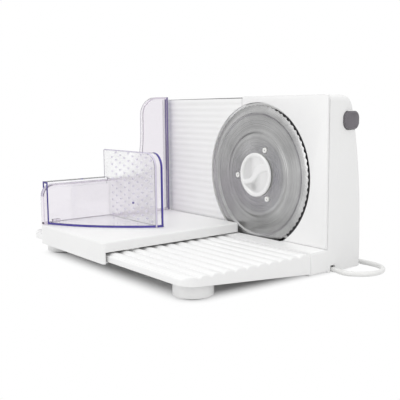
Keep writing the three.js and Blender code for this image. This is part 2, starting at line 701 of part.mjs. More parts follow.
function trayRibProfile() {
  const valley = TRAY_TOP - TRAY_RIB_HIGH;
  const span = (TRAY_RIBS - 1) * TRAY_RIB_PITCH;
  const first = (TRAY_FRONT + TRAY_REAR) / 2 - span / 2;
  const shape = new THREE.Shape();
  shape.moveTo(TRAY_FRONT - OVERRUN, TRAY_UNDER);
  shape.lineTo(TRAY_REAR + OVERRUN, TRAY_UNDER);
  shape.lineTo(TRAY_REAR + OVERRUN, valley);
  for (let i = TRAY_RIBS - 1; i >= 0; i -= 1) {
    const centre = first + i * TRAY_RIB_PITCH;
    for (let k = 0; k <= 6; k += 1) {
      const angle = Math.PI * k / 6;
      shape.lineTo(
        centre + TRAY_RIB_WIDTH / 2 * Math.cos(angle), valley + TRAY_RIB_HIGH * Math.sin(angle));
    }
  }
  shape.lineTo(TRAY_FRONT - OVERRUN, valley);
  shape.closePath();
  return shape;
}

function baseTray() {
  const plate = alongX(trayRibProfile(), [TRAY_LEFT - OVERRUN, TRAY_RIGHT + OVERRUN])
    .intersect(alongZ(trayOutline(0), [TRAY_UNDER - OVERRUN, TRAY_TOP + OVERRUN]));
  const sideShape = polygon([
    [TRAY_FRONT - OVERRUN, TRAY_UNDER + OVERRUN], [TRAY_FRONT - OVERRUN, TRAY_TOP - TRAY_FRONT_DROP],
    [TRAY_REAR + OVERRUN, TRAY_TOP - TRAY_REAR_DROP], [TRAY_REAR + OVERRUN, TRAY_UNDER + OVERRUN],
  ]);
  const ring = alongZ(trayOutline(0), [TRAY_TOP - TRAY_REAR_DROP - OVERRUN, TRAY_UNDER + OVERRUN])
    .subtract(alongZ(trayOutline(WALL), [TRAY_TOP - TRAY_REAR_DROP - 2, TRAY_UNDER + 2]));
  let tray = plate.add(ring.intersect(alongX(sideShape, [TRAY_LEFT - OVERRUN, TRAY_RIGHT + OVERRUN])));
  for (const x of TRAY_SCREW_X) {
    tray = tray.subtract(rodY(SCREW_R + SCREW_CLEARANCE, [TRAY_REAR - WALL - OVERRUN, TRAY_REAR + OVERRUN],
      x, LEDGE_TOP - TRAY_SCREW_DROP, SMALL_ROUND_STEPS));
  }
  return tray;
}

function trayScrew(x) {
  const z = LEDGE_TOP - TRAY_SCREW_DROP;
  const seat = -LEDGE_DEPTH + WALL + FIT;
  const head = rodY(SCREW_HEAD_R, [seat, seat + SCREW_HEAD], x, z, SMALL_ROUND_STEPS);
  return head.add(rodY(SCREW_R, [seat - SCREW_LONG, seat + OVERRUN], x, z, SMALL_ROUND_STEPS));
}

// Front feet: round posts under the tray, each with a rubber pad let into its foot
const FOOT_PLACES = {
  left: [TRAY_LEFT + FOOT_SIDE_INSET, TRAY_FRONT + FOOT_FRONT_INSET],
  right: [TRAY_RIGHT - FOOT_SIDE_INSET, TRAY_FRONT + FOOT_FRONT_INSET],
};

function frontFoot([x, y]) {
  const post = rodZ(FOOT_R, [FLOOR + PAD_PROUD, TRAY_UNDER - FIT], x, y, LARGE_ROUND_STEPS);
  return post.subtract(rodZ(PAD_R + FIT, [FLOOR, FLOOR + PAD_PROUD + PAD_SINK], x, y));
}

function footPad([x, y]) {
  return rodZ(PAD_R, [FLOOR, FLOOR + PAD_PROUD + PAD_SINK - FIT], x, y);
}

function rearFoot(x) {
  return rodZ(REAR_FOOT_R, [FLOOR, COVER_UNDER - FIT], x, REAR_FOOT_Y);
}

// Blade: a pressed disc joined to a ground rim, whose edge is drawn in and out to make the waves
function blade() {
  const front = BLADE_FRONT;
  const back = BLADE_BACK;
  const hole = LOCK_STEM_R + 2 * FIT;
  const inner = [RING_INNER_R - RING_SLOPE, RING_INNER_R + RING_SLOPE];
  const outer = [RING_OUTER_R - RING_SLOPE, RING_OUTER_R + RING_SLOPE];
  const join = BLADE_R - GROUND_RIM - OVERRUN;
  const disc = solid(turned([
    [hole, front], [inner[0], front], [inner[1], front + RING_DEPTH], [outer[0], front + RING_DEPTH],
    [outer[1], front], [join, front], [join, back], [outer[1], back], [outer[0], back + RING_DEPTH],
    [inner[1], back + RING_DEPTH], [inner[0], back], [hole, back],
  ], LARGE_ROUND_STEPS));
  const rim = turned([
    [join - OVERRUN, front], [BLADE_R - GROUND_RIM, front], [BLADE_R, back], [join - OVERRUN, back],
  ], 2 * BLADE_WAVES);
  const position = rim.attributes.position;
  for (let i = 0; i < position.count; i += 1) {
    const [x, z] = [position.getX(i), position.getZ(i)];
    const radius = Math.hypot(x, z);
    if (radius < BLADE_R - GROUND_RIM / 2) continue;
    const wave = (1 - Math.cos(BLADE_WAVES * Math.atan2(z, x))) / 2;
    const factor = (radius - WAVE_DEPTH * wave) / radius;
    position.setX(i, x * factor);
    position.setZ(i, z * factor);
  }
  let body = disc.add(solid(rim));
  for (const [x, z] of pegPlaces()) {
    body = body.subtract(rodY(PEG_R + 2 * FIT, [front - OVERRUN, back + OVERRUN], x, z, SHAFT_ROUND_STEPS));
  }
  return body;
}

function pegPlaces() {
  return Array.from({ length: PEG_COUNT }, (_, i) => {
    const angle = THREE.MathUtils.degToRad(PEG_TURN) + 2 * Math.PI * i / PEG_COUNT;
    return [PEG_CIRCLE_R * Math.cos(angle), PEG_CIRCLE_R * Math.sin(angle)];
  });
}

// Blade lock knob: a rimmed disc with a slanting finger bar, on a stem through the blade
function lockKnob() {
  const rear = BLADE_FRONT - FIT;
  const front = rear - LOCK_THICK;
  const disc = rodY(LOCK_R, [front, rear], 0, 0, WIDE_ROUND_STEPS);
  const half = LOCK_BAR / 2;
  const pocketR = LOCK_R - LOCK_RIM;
  const edgeAngle = Math.asin(half / pocketR);
  let knob = disc.add(rodY(LOCK_STEM_R, [rear - LOCK_FLOOR, rear + LOCK_STEM], 0, 0));
  for (const turn of [0, Math.PI]) {
    const shape = new THREE.Shape();
    const tilt = THREE.MathUtils.degToRad(LOCK_BAR_TILT) + turn;
    shape.absarc(0, 0, pocketR, tilt + edgeAngle, tilt + Math.PI - edgeAngle);
    shape.closePath();
    knob = knob.subtract(alongY(shape, [front - OVERRUN, rear - LOCK_FLOOR]));
  }
  return knob;
}

// Worm wheel: slanted teeth, a hub and the carrier that drives the blade by three pegs
function wormWheel() {
  const rearFace = GEAR_Y + GEAR_WIDTH / 2;
  const frontFace = GEAR_Y - GEAR_WIDTH / 2;
  const rootR = GEAR_PITCH_R - TOOTH_DEDENDUM;
  const pocketR = LOCK_STEM_R + FIT;
  const wheel = solid(turned([
    [pocketR, CARRIER_FRONT], [CARRIER_R, CARRIER_FRONT], [CARRIER_R, CARRIER_FRONT + CARRIER_THICK],
    [HUB_R, CARRIER_FRONT + CARRIER_THICK], [HUB_R, frontFace], [rootR - OVERRUN, frontFace],
    [rootR - OVERRUN, rearFace],
    [HUB_R, rearFace], [HUB_R, HUB_REAR], [SPINDLE_R + FIT, HUB_REAR],
    [SPINDLE_R + FIT, SPINDLE_FRONT], [pocketR, SPINDLE_FRONT],
  ]));
  const teeth = extrusion(gearShape(rootR), GEAR_WIDTH, 0, 0).applyMatrix4(ALONG_Y).translate(0, rearFace, 0);
  const position = teeth.attributes.position;
  const vertex = new THREE.Vector3();
  const axis = new THREE.Vector3(0, 1, 0);
  for (let i = 0; i < position.count; i += 1) {
    vertex.fromBufferAttribute(position, i);
    vertex.applyAxisAngle(axis, (vertex.y - GEAR_Y) * GEAR_MODULE / 2 / (WORM_PITCH_R * GEAR_PITCH_R));
    position.setXYZ(i, vertex.x, vertex.y, vertex.z);
  }
  let body = wheel.add(solid(teeth).subtract(rodY(HUB_R, [frontFace - OVERRUN, rearFace + OVERRUN], 0, 0)));
  const pegFront = BLADE_FRONT - PEG_PROUD;
  for (const [x, z] of pegPlaces()) {
    body = body.add(rodY(PEG_R, [pegFront, CARRIER_FRONT + OVERRUN], x, z, SHAFT_ROUND_STEPS));
    body = body.subtract(rodY(
      PEG_DIMPLE_R, [pegFront - OVERRUN, pegFront + PEG_DIMPLE_DEEP], x, z, SMALL_ROUND_STEPS));
  }
  return body;
}

function gearShape(rootR) {
  const tipR = GEAR_PITCH_R + TOOTH_ADDENDUM;
  const points = [];
  for (let i = 0; i < GEAR_TEETH; i += 1) {
    const centre = 2 * Math.PI * (i + 0.5) / GEAR_TEETH;
    const root = TOOTH_ROOT_THICK / 2 / GEAR_PITCH_R;
    const tip = TOOTH_TIP_THICK / 2 / GEAR_PITCH_R;
    for (const [radius, offset] of [[rootR, -root], [tipR, -tip], [tipR, tip], [rootR, root]]) {
      points.push([radius * Math.cos(centre + offset), radius * Math.sin(centre + offset)]);
    }
  }
  return polygon(points);
}

function spindle() {
  return rodY(SPINDLE_R, [SPINDLE_FRONT + FIT, SPINDLE_REAR - FIT], 0, 0);
}

// Worm shaft: a right-hand round thread on a core, carried by the motor and a bearing post
function wormShaft() {
  const half = WORM_LENGTH / 2;
  const shaftRight = MOTOR_FRONT_X + MOTOR_BORE - FIT;
  const core = rodX(WORM_CORE_R, [-half, half], GEAR_Y, WORM_Z, SHAFT_ROUND_STEPS);
  const shaft = rodX(SHAFT_R, [-half - SHAFT_TAIL, shaftRight], GEAR_Y, WORM_Z, SHAFT_ROUND_STEPS);
  const threadPathR = WORM_PITCH_R - THREAD_SINK;
  const steps = THREAD_TURNS * THREAD_STEPS;
  const points = [];
  for (let i = 0; i <= steps; i += 1) {
    const turn = i / THREAD_STEPS - THREAD_TURNS / 2;
    const angle = Math.PI / 2 + 2 * Math.PI * turn;
    points.push(new THREE.Vector3(
      WORM_LEAD * turn, GEAR_Y + threadPathR * Math.cos(angle), WORM_Z + threadPathR * Math.sin(angle)));
  }
  return core.add(shaft).add(solid(tube(points, THREAD_R, 6, steps)));
}

function shaftBearing() {
  const left = -WORM_LENGTH / 2 - SHAFT_TAIL;
  const post = block(
    [left, left + BEARING_LENGTH], [GEAR_Y - BEARING_WIDE / 2, GEAR_Y + BEARING_WIDE / 2],
    [COVER_TOP + FIT, WORM_Z + BEARING_RISE]);
  return post.subtract(rodX(
    SHAFT_R + FIT, [left - OVERRUN, left + BEARING_LENGTH + OVERRUN], GEAR_Y, WORM_Z, SHAFT_ROUND_STEPS));
}

// Motor: a can with a bore for the shaft, an end cap, and the saddle and strap that hold it
const MOTOR_REAR_X = MOTOR_FRONT_X + MOTOR_LENGTH;
const SADDLE_X = MOTOR_FRONT_X + MOTOR_LENGTH / 2;

function motorCan() {
  const front = MOTOR_FRONT_X;
  const nose = front - MOTOR_NOSE;
  const boreEnd = front + MOTOR_BORE;
  return turnedX([
    [SHAFT_R + FIT, nose], [MOTOR_NOSE_R, nose], [MOTOR_NOSE_R, front], [MOTOR_R - MOTOR_EDGE, front],
    [MOTOR_R, front + MOTOR_EDGE], [MOTOR_R, MOTOR_REAR_X], [0, MOTOR_REAR_X], [0, boreEnd],
    [SHAFT_R + FIT, boreEnd],
  ], GEAR_Y, WORM_Z);
}

function motorCap() {
  const front = MOTOR_REAR_X + FIT;
  const rear = front + MOTOR_CAP;
  const radius = MOTOR_R - MOTOR_CAP_INSET;
  return turnedX([
    [0, front], [radius, front], [radius, rear - MOTOR_CAP_EDGE], [radius - MOTOR_CAP_EDGE, rear], [0, rear],
  ], GEAR_Y, WORM_Z);
}

function motorSaddle() {
  const half = SADDLE_LENGTH / 2;
  const cradle = block(
    [SADDLE_X - half, SADDLE_X + half], [GEAR_Y - MOTOR_R, GEAR_Y + MOTOR_R],
    [COVER_TOP + FIT, WORM_Z - SADDLE_DROP]);
  const seat = rodX(MOTOR_R + FIT, [MOTOR_FRONT_X, MOTOR_REAR_X], GEAR_Y, WORM_Z, LARGE_ROUND_STEPS);
  return cradle.subtract(seat);
}

function motorStrap() {
  const innerR = MOTOR_R + FIT;
  const outerR = innerR + STRAP_THICK;
  const legEnd = WORM_Z - MOTOR_R;
  const shape = new THREE.Shape();
  shape.moveTo(GEAR_Y + innerR, legEnd);
  shape.lineTo(GEAR_Y + outerR, legEnd);
  shape.lineTo(GEAR_Y + outerR, WORM_Z);
  shape.absarc(GEAR_Y, WORM_Z, outerR, 0, Math.PI);
  shape.lineTo(GEAR_Y - outerR, legEnd);
  shape.lineTo(GEAR_Y - innerR, legEnd);
  shape.lineTo(GEAR_Y - innerR, WORM_Z);
  shape.absarc(GEAR_Y, WORM_Z, innerR, Math.PI, 0, true);
  shape.closePath();
  return alongX(shape, [SADDLE_X - STRAP_WIDTH / 2, SADDLE_X + STRAP_WIDTH / 2]);
}

// Carriage table: a flat box, open below, whose front skirt hooks round the tray's front edge
function carriageTable() {
  const skirtFoot = TABLE_TOP - SKIRT_DROP;
  const outline = roundedRectangle(TABLE_LEFT, TABLE_RIGHT, TABLE_FRONT, TABLE_REAR, TABLE_CORNER_R);
  let table = alongZ(outline, [skirtFoot - TABLE_EDGE, TABLE_TOP], TABLE_EDGE)
    .intersect(block([TABLE_LEFT, TABLE_RIGHT], [TABLE_FRONT, TABLE_REAR], [skirtFoot, TABLE_TOP]));
  const skirtRear = TABLE_FRONT + WALL;
  const between = [TABLE_LEFT + WALL, TABLE_RIGHT - WALL];
  const inside = block(between, [skirtRear, TABLE_REAR - WALL], [skirtFoot - OVERRUN, TABLE_TOP - WALL]);
  const below = block(
    [TABLE_LEFT - OVERRUN, TABLE_RIGHT + OVERRUN], [skirtRear, TABLE_REAR + OVERRUN],
    [skirtFoot - OVERRUN, TABLE_BOTTOM]);
  table = table.subtract(inside).subtract(below);
  const lipTop = TRAY_TOP - TRAY_FRONT_DROP - FIT;
  table = table.add(block(
    [TABLE_LEFT + TABLE_CORNER_R, TABLE_RIGHT - TABLE_CORNER_R],
    [skirtRear - OVERRUN, skirtRear + SKIRT_LIP], [skirtFoot, lipTop]));
  for (const y of [TRAY_FRONT + RUNNER_INSET, TRAY_REAR - RUNNER_INSET]) {
    const half = RUNNER_WIDE / 2;
    table = table.add(block(between, [y - half, y + half], [TRAY_TOP + FIT, TABLE_TOP - WALL + OVERRUN]));
  }
  for (const y of GUARD_SCREW_Y) {
    const headRoom = [TABLE_BOTTOM - OVERRUN, TABLE_TOP - WALL];
    table = table.subtract(screwHoleZ(GUARD_SCREW_X, y, [TABLE_TOP - WALL - OVERRUN, TABLE_TOP + OVERRUN]));
    table = table.subtract(rodZ(SCREW_HEAD_R + FIT, headRoom, GUARD_SCREW_X, y, SMALL_ROUND_STEPS));
  }
  return table;
}

// End guard: a clear sheet with a rim, tall beside the blade and low towards the operator
function guardOutline(inset) {
  const rear = GUARD_REAR - inset;
  const top = GUARD_TOP - inset;
  const front = GUARD_FRONT + inset;
  const foot = GUARD_FOOT + inset;
  const shieldFront = GUARD_REAR - GUARD_SHIELD + inset;
  const low = GUARD_LOW_TOP - inset;
  const roundR = GUARD_ROUND_R - inset;
  const noseR = GUARD_NOSE_R - inset;
  const shape = new THREE.Shape();
  shape.moveTo(front, foot);
  shape.lineTo(rear, foot);
  shape.lineTo(rear, top);
  shape.lineTo(shieldFront + roundR, top);
  shape.absarc(shieldFront + roundR, top - roundR, roundR, Math.PI / 2, Math.PI);
  shape.lineTo(shieldFront, GUARD_FLARE_TOP);
  shape.quadraticCurveTo(shieldFront - GUARD_FLARE_PULL, low, GUARD_FLARE_Y, low);
  shape.lineTo(front + noseR, low);
  shape.absarc(front + noseR, low - noseR, noseR, Math.PI / 2, Math.PI);
  shape.closePath();
  return shape;
}

function endGuard() {
  const sheetLeft = GUARD_INNER - GUARD_SHEET;
  let guard = alongX(guardOutline(0), [GUARD_LEFT, GUARD_INNER])
    .subtract(alongX(guardOutline(GUARD_RIM_THICK), [GUARD_LEFT - OVERRUN, sheetLeft]));
  for (const y of GUARD_SCREW_Y) {
    const bossTop = GUARD_FOOT + SCREW_LONG;
    guard = guard.add(block(
      [GUARD_LEFT, GUARD_INNER], [y - GUARD_BOSS / 2, y + GUARD_BOSS / 2], [GUARD_FOOT, bossTop]));
    guard = guard.subtract(screwHoleZ(GUARD_SCREW_X, y, [GUARD_FOOT - OVERRUN, bossTop - OVERRUN]));
  }
  return guard;
}

// Food pusher: a low wall with a hook over the guard, a floor with a bowed edge and a flange, and the
// upright plate with the spikes, which lies between them
function pusherPlateOutline(inset) {
  const left = PUSHER_WALL_X;
  const right = PUSHER_RIGHT - inset;
  const top = PUSHER_TOP - inset;
  const radius = PUSHER_CORNER_R - inset;
  const shape = new THREE.Shape();
  shape.moveTo(left, PUSHER_FOOT);
  shape.lineTo(right, PUSHER_FOOT);
  shape.lineTo(right, top - radius);
  shape.absarc(right - radius, top - radius, radius, 0, Math.PI / 2);
  shape.lineTo(left, top);
  shape.closePath();
  return shape;
}

// The flange follows the plate's right edge and its rounded corner
function pusherFlange() {
  const along = [PUSHER_PLATE_Y, PUSHER_PLATE_REAR + PUSHER_FLANGE];
  return alongY(pusherPlateOutline(0), along)
    .subtract(alongY(pusherPlateOutline(PUSHER_WALL), [along[0] - OVERRUN, along[1] + OVERRUN]))
    .intersect(block([PUSHER_RIGHT - PUSHER_FLANGE_TOP, PUSHER_RIGHT], along, [PUSHER_FOOT, PUSHER_TOP]));
}

function foodPusher() {
  const wallRight = PUSHER_WALL_X + PUSHER_WALL;
  const along = [PUSHER_FRONT, PUSHER_PLATE_Y];
  const floorTop = PUSHER_FOOT + PUSHER_WALL;
  const bow = [(PUSHER_WALL_X + PUSHER_RIGHT) / 2 + PUSHER_BOW_X, PUSHER_FRONT + PUSHER_BOW_Y];
  const floor = new THREE.Shape();
  floor.moveTo(PUSHER_WALL_X, PUSHER_FRONT);
  floor.quadraticCurveTo(...bow, PUSHER_RIGHT, PUSHER_PLATE_REAR);
  floor.lineTo(PUSHER_WALL_X, PUSHER_PLATE_REAR);
  floor.closePath();
  return block([PUSHER_WALL_X, wallRight], along, [PUSHER_FOOT, HOOK_TOP])
    .add(block([HOOK_LEFT, wallRight], along, [HOOK_TOP - PUSHER_WALL, HOOK_TOP]))
    .add(block([HOOK_LEFT, HOOK_LEFT + PUSHER_WALL], along, [HOOK_TOP - HOOK_DROP, HOOK_TOP]))
    .add(alongZ(floor, [PUSHER_FOOT, floorTop]))
    .add(pusherFlange());
}

function pusherPlate() {
  const along = [PUSHER_PLATE_Y, PUSHER_PLATE_REAR];
  const hookPart = block(
    [HOOK_LEFT, PUSHER_WALL_X + PUSHER_WALL], along, [HOOK_TOP - PUSHER_WALL, PUSHER_TOP]);
  let plate = alongY(pusherPlateOutline(0), along).add(hookPart)
    .intersect(block([HOOK_LEFT, PUSHER_RIGHT], along, [PUSHER_FOOT + PUSHER_WALL, PUSHER_TOP]))
    .subtract(pusherFlange());
  for (const [x, z] of spikePlaces()) {
    const spike = new THREE.ConeGeometry(SPIKE_R, SPIKE_LONG + OVERRUN, 4);
    plate = plate.add(solid(spike.translate(x, PUSHER_PLATE_REAR + (SPIKE_LONG - OVERRUN) / 2, z)));
  }
  return plate;
}

function spikePlaces() {
  const places = [];
  for (let row = 0; row < SPIKE_ROWS; row += 1) {
    for (let column = 0; column < SPIKE_COLUMNS; column += 1) {
      const stagger = row % 2 === 0 ? 0 : SPIKE_PITCH_X / 2;
      places.push([
        PUSHER_WALL_X + PUSHER_WALL + SPIKE_SIDE_INSET + SPIKE_PITCH_X * column + stagger,
        PUSHER_TOP - SPIKE_TOP_INSET - SPIKE_PITCH_Z * row,
      ]);
    }
  }
  return places;
}

// Gauge plate: ribbed across its face, curled back at its left end and cut round the blade
function gaugePlate() {
  const curl = THREE.MathUtils.degToRad(GAUGE_CURL_ANGLE);
  const plan = new THREE.Shape();
  const innerR = GAUGE_CURL_R - GAUGE_THICK;
  plan.moveTo(GAUGE_RIGHT, 0);
  plan.lineTo(GAUGE_RIGHT, GAUGE_THICK);
  plan.lineTo(GAUGE_LEFT_STRAIGHT, GAUGE_THICK);
  plan.absarc(GAUGE_LEFT_STRAIGHT, GAUGE_CURL_R, innerR, -Math.PI / 2, -Math.PI / 2 - curl, true);
  plan.absarc(GAUGE_LEFT_STRAIGHT, GAUGE_CURL_R, GAUGE_CURL_R, -Math.PI / 2 - curl, -Math.PI / 2);
  plan.closePath();
  const deep = GAUGE_CURL_R;
  const ribs = [[deep, GAUGE_BOTTOM], [deep, GAUGE_TOP], [GAUGE_RIB_DEEP, GAUGE_TOP]];
  const count = Math.floor((GAUGE_TOP - GAUGE_BOTTOM) / GAUGE_RIB_PITCH);
  for (let i = 0; i < count; i += 1) {
    const z = GAUGE_TOP - (i + 0.5) * GAUGE_RIB_PITCH;
    ribs.push([GAUGE_RIB_DEEP, z + GAUGE_RIB_FOOT / 2], [0, z + GAUGE_RIB_CREST / 2]);
    ribs.push([0, z - GAUGE_RIB_CREST / 2], [GAUGE_RIB_DEEP, z - GAUGE_RIB_FOOT / 2]);
  }
  ribs.push([GAUGE_RIB_DEEP, GAUGE_BOTTOM]);
  const left = GAUGE_LEFT_STRAIGHT - GAUGE_CURL_R;
  return alongZ(plan, [GAUGE_BOTTOM, GAUGE_TOP])
    .intersect(alongX(polygon(ribs.reverse()), [left, GAUGE_RIGHT + OVERRUN]))
    .subtract(rodY(OPENING_R, [-OVERRUN, deep], 0, 0, WIDE_ROUND_STEPS));
}

// Gauge slide: a bracket behind the gauge plate with rod sockets, and an arm with the follower peg
function gaugeSlide() {
  const front = GAUGE_THICK + FIT;
  const rear = front + SLIDE_THICK;
  let slide = block(
    [SLIDE_X - SLIDE_WIDE / 2, SLIDE_X + SLIDE_WIDE / 2], [front, rear], [GAUGE_BOTTOM, SLIDE_TOP]);
  for (const z of ROD_Z) {
    slide = slide.add(rodY(ROD_R + SOCKET_WALL, [rear - OVERRUN, rear + SOCKET_DEEP], SLIDE_X, z));
    slide = slide.subtract(rodY(ROD_R + FIT, [rear, rear + SOCKET_DEEP + OVERRUN], SLIDE_X, z));
  }
  const armLeft = ARM_RIGHT - ARM_SIZE;
  const half = ARM_SIZE / 2;
  const pegEnd = SLIDE_X - CAM_R + FOLLOWER_SINK;
  slide = slide.add(block(
    [armLeft, ARM_RIGHT], [rear - OVERRUN, FOLLOWER_Y + half], [CAM_Z - half, CAM_Z + half]));
  return slide.add(rodX(FOLLOWER_R, [ARM_RIGHT - OVERRUN, pegEnd], FOLLOWER_Y, CAM_Z, SMALL_ROUND_STEPS));
}

function guideRod(z) {
  const front = GAUGE_THICK + FIT + SLIDE_THICK + FIT;
  return rodY(ROD_R, [front, front + ROD_LENGTH], SLIDE_X, z);
}

// Thickness cam: a drum whose helical groove drives the follower, and the knob on its shaft
function thicknessCam() {
  const pinFront = BAY_DEPTH + FIT;
  const drumFront = BAY_DEPTH + WALL + CAM_FRONT_GAP;
  const drumRear = drumFront + CAM_LENGTH;
  const shaftEnd = HOUSING_DEPTH + KNOB_GAP + KNOB_THICK / 2;
  const drum = turned([
    [0, pinFront], [CAM_PIN_R, pinFront], [CAM_PIN_R, drumFront], [CAM_R, drumFront], [CAM_R, drumRear],
    [CAM_SHAFT_R, drumRear], [CAM_SHAFT_R, shaftEnd], [0, shaftEnd],
  ]);
  const points = [];
  for (let i = 0; i <= GROOVE_STEPS; i += 1) {
    const turn = -GROOVE_OVERRUN + (CAM_TURN + 2 * GROOVE_OVERRUN) * i / GROOVE_STEPS;
    const angle = Math.PI + THREE.MathUtils.degToRad(turn);
    points.push(new THREE.Vector3(
      SLIDE_X + CAM_R * Math.cos(angle), FOLLOWER_Y + GAUGE_STEP * THREE.MathUtils.degToRad(turn),
      CAM_Z + CAM_R * Math.sin(angle)));
  }
  return solid(drum.translate(SLIDE_X, 0, CAM_Z)).subtract(solid(tube(points, GROOVE_R, 8, GROOVE_STEPS)));
}

function thicknessKnob() {
  const front = HOUSING_DEPTH + KNOB_GAP;
  const rear = front + KNOB_THICK;
  const points = [];
  const steps = KNOB_FLUTES * 4;
  for (let i = 0; i < steps; i += 1) {
    const angle = 2 * Math.PI * i / steps;
    const radius = KNOB_R - KNOB_FLUTE_DEEP * (1 - Math.cos(KNOB_FLUTES * angle)) / 2;
    points.push([SLIDE_X + radius * Math.cos(angle), CAM_Z + radius * Math.sin(angle)]);
  }
  return alongY(polygon(points), [front, rear])
    .subtract(rodY(CAM_SHAFT_R + FIT, [front - OVERRUN, front + KNOB_THICK / 2 + FIT], SLIDE_X, CAM_Z));
}

// Switch: a domed button at the housing's rear corner, whose stem runs in the switch body
function switchButton() {
  const inner = HOUSING_RIGHT - BUTTON_DEEP;
  const shape = roundedRectangle(
    BUTTON_Y - BUTTON_WIDE / 2, BUTTON_Y + BUTTON_WIDE / 2,
    BUTTON_Z - BUTTON_HIGH / 2, BUTTON_Z + BUTTON_HIGH / 2, BUTTON_CORNER_R);
  const cap = alongX(shape, [inner - BUTTON_DOME, HOUSING_RIGHT + BUTTON_PROUD], BUTTON_DOME)
    .intersect(block(
      [inner, HOUSING_RIGHT + BUTTON_PROUD], [0, HOUSING_DEPTH], [LEDGE_TOP, HOUSING_TOP]));
  return cap.add(rodX(STEM_R, [inner - STEM_LONG, inner + OVERRUN], STEM_Y, BUTTON_Z, SHAFT_ROUND_STEPS));
}

function switchBody() {
  const right = HOUSING_RIGHT - BUTTON_DEEP - BUTTON_TRAVEL - FIT;
  const box = block(
    [right - SWITCH_LONG, right], [STEM_Y - SWITCH_WIDE / 2, STEM_Y + SWITCH_WIDE / 2],
    [BUTTON_Z - SWITCH_HIGH / 2, BUTTON_Z + SWITCH_HIGH / 2]);
  const bore = HOUSING_RIGHT - BUTTON_DEEP - STEM_LONG - BUTTON_TRAVEL - FIT;
  return box.subtract(rodX(STEM_R + FIT, [bore, right + OVERRUN], STEM_Y, BUTTON_Z, SHAFT_ROUND_STEPS));
}

// Cord: a clamp under the base, a tapered sleeve, a bend to the run behind the housing, and the coil
function cordClamp() {
  return block(
    [CLAMP_RIGHT - CLAMP_LONG, CLAMP_RIGHT], [CORD_Y - CLAMP_WIDE / 2, CORD_Y + CLAMP_WIDE / 2],
    [HOUSING_BOTTOM, COVER_UNDER - FIT]);
}

function cordSleeve() {
  const start = CLAMP_RIGHT + FIT;
  return turnedX([
    [0, start], [SLEEVE_R, start], [SLEEVE_R, start + SLEEVE_COLLAR], [CORD_R + FIT, SLEEVE_END],
    [0, SLEEVE_END],
  ], CORD_Y, CORD_Z + SLEEVE_R - CORD_R, SHAFT_ROUND_STEPS);
}

function freeCord() {
  const bendX = HOUSING_RIGHT + CORD_LEAD;
  const lift = SLEEVE_R - CORD_R;
  const route = [
    [SLEEVE_END + FIT, CORD_Y, lift],
    [HOUSING_RIGHT + CORD_LEAD / 2, CORD_Y, lift],
    [bendX, CORD_Y, lift / 2],
  ];
  for (let i = 1; i <= CORD_BEND_STEPS; i += 1) {
    const angle = Math.PI * (i / CORD_BEND_STEPS - 0.5);
    route.push([
      bendX + CORD_BEND_R * Math.cos(angle), CORD_Y + CORD_BEND_R * (1 + Math.sin(angle)), 0]);
  }
  const end = COIL_X + 2 * CORD_R + FIT;
  for (let i = 1; i <= CORD_RUN_STEPS; i += 1) {
    const share = i / CORD_RUN_STEPS;
    const climb = (COIL_Z - CORD_Z) * THREE.MathUtils.smoothstep(share, 0, 1);
    route.push([bendX + (end - bendX) * share, CORD_RUN_Y, climb]);
  }
  const points = route.map(([x, y, rise]) => new THREE.Vector3(x, y, CORD_Z + rise));
  return solid(tube(points, CORD_R, 10, CORD_STEPS));
}

// The coil winds inwards on the table, climbs one layer and winds outwards again to the plug
function coilPoints() {
  const turns = 2 * COIL_LOOPS + COIL_CLIMB;
  const points = [new THREE.Vector3(COIL_X + 2 * CORD_R, CORD_RUN_Y, COIL_Z)];
  for (let i = 0; i <= turns * COIL_STEPS; i += 1) {
    const turn = i / COIL_STEPS;
    const angle = -Math.PI / 2 - 2 * Math.PI * turn;
    const radius = COIL_OUTER_R - COIL_PITCH * Math.min(turn, turns - turn);
    const climb = THREE.MathUtils.clamp((turn - COIL_LOOPS) / COIL_CLIMB, 0, 1);
    const lift = COIL_PITCH * THREE.MathUtils.smoothstep(climb, 0, 1);
    points.push(new THREE.Vector3(
      COIL_X + radius * Math.cos(angle), COIL_Y + radius * Math.sin(angle), COIL_Z + lift));
  }
  const last = points[points.length - 1];
  points.push(new THREE.Vector3(last.x + COIL_TAIL / 2, last.y + COIL_TAIL_DRIFT, last.z));
  points.push(new THREE.Vector3(last.x + COIL_TAIL, last.y + COIL_TAIL_DRIFT, last.z));
  return points;
}

// Least gap of the coil to itself, measured between points that are more than half a loop apart
function leastGap(points) {
  let least = Infinity;
  for (let i = 0; i < points.length; i += 1) {
    for (let k = i + COIL_STEPS / 2; k < points.length; k += 1) {
      least = Math.min(least, points[i].distanceTo(points[k]) - 2 * CORD_R);
    }
  }
  return least;
}

function cordCoil(points) {
  return solid(tube(points, CORD_R, 6, points.length - 1));
}

function cordTie() {
  const inner = COIL_OUTER_R - (COIL_LOOPS + COIL_CLIMB / 2) * COIL_PITCH - CORD_R - TIE_GAP;
  const outer = COIL_OUTER_R + CORD_R + TIE_GAP;
  const under = COIL_Z - CORD_R - TIE_GAP + FIT;
  const over = COIL_Z + COIL_PITCH + CORD_R + TIE_GAP;
  const along = [COIL_Y - TIE_WIDE / 2, COIL_Y + TIE_WIDE / 2];
  const band = block(
    [COIL_X - outer - TIE_THICK, COIL_X - inner + TIE_THICK], along, [under - TIE_THICK, over + TIE_THICK]);
  const hollow = block(
    [COIL_X - outer, COIL_X - inner], [along[0] - OVERRUN, along[1] + OVERRUN], [under, over]);
  return band.subtract(hollow);
}

// Plug: a flat grip that narrows to the cord, with two round pins
function plugPlace(points) {
  const end = points[points.length - 1];
  return { neck: end.x + FIT, y: end.y, z: end.z };
}

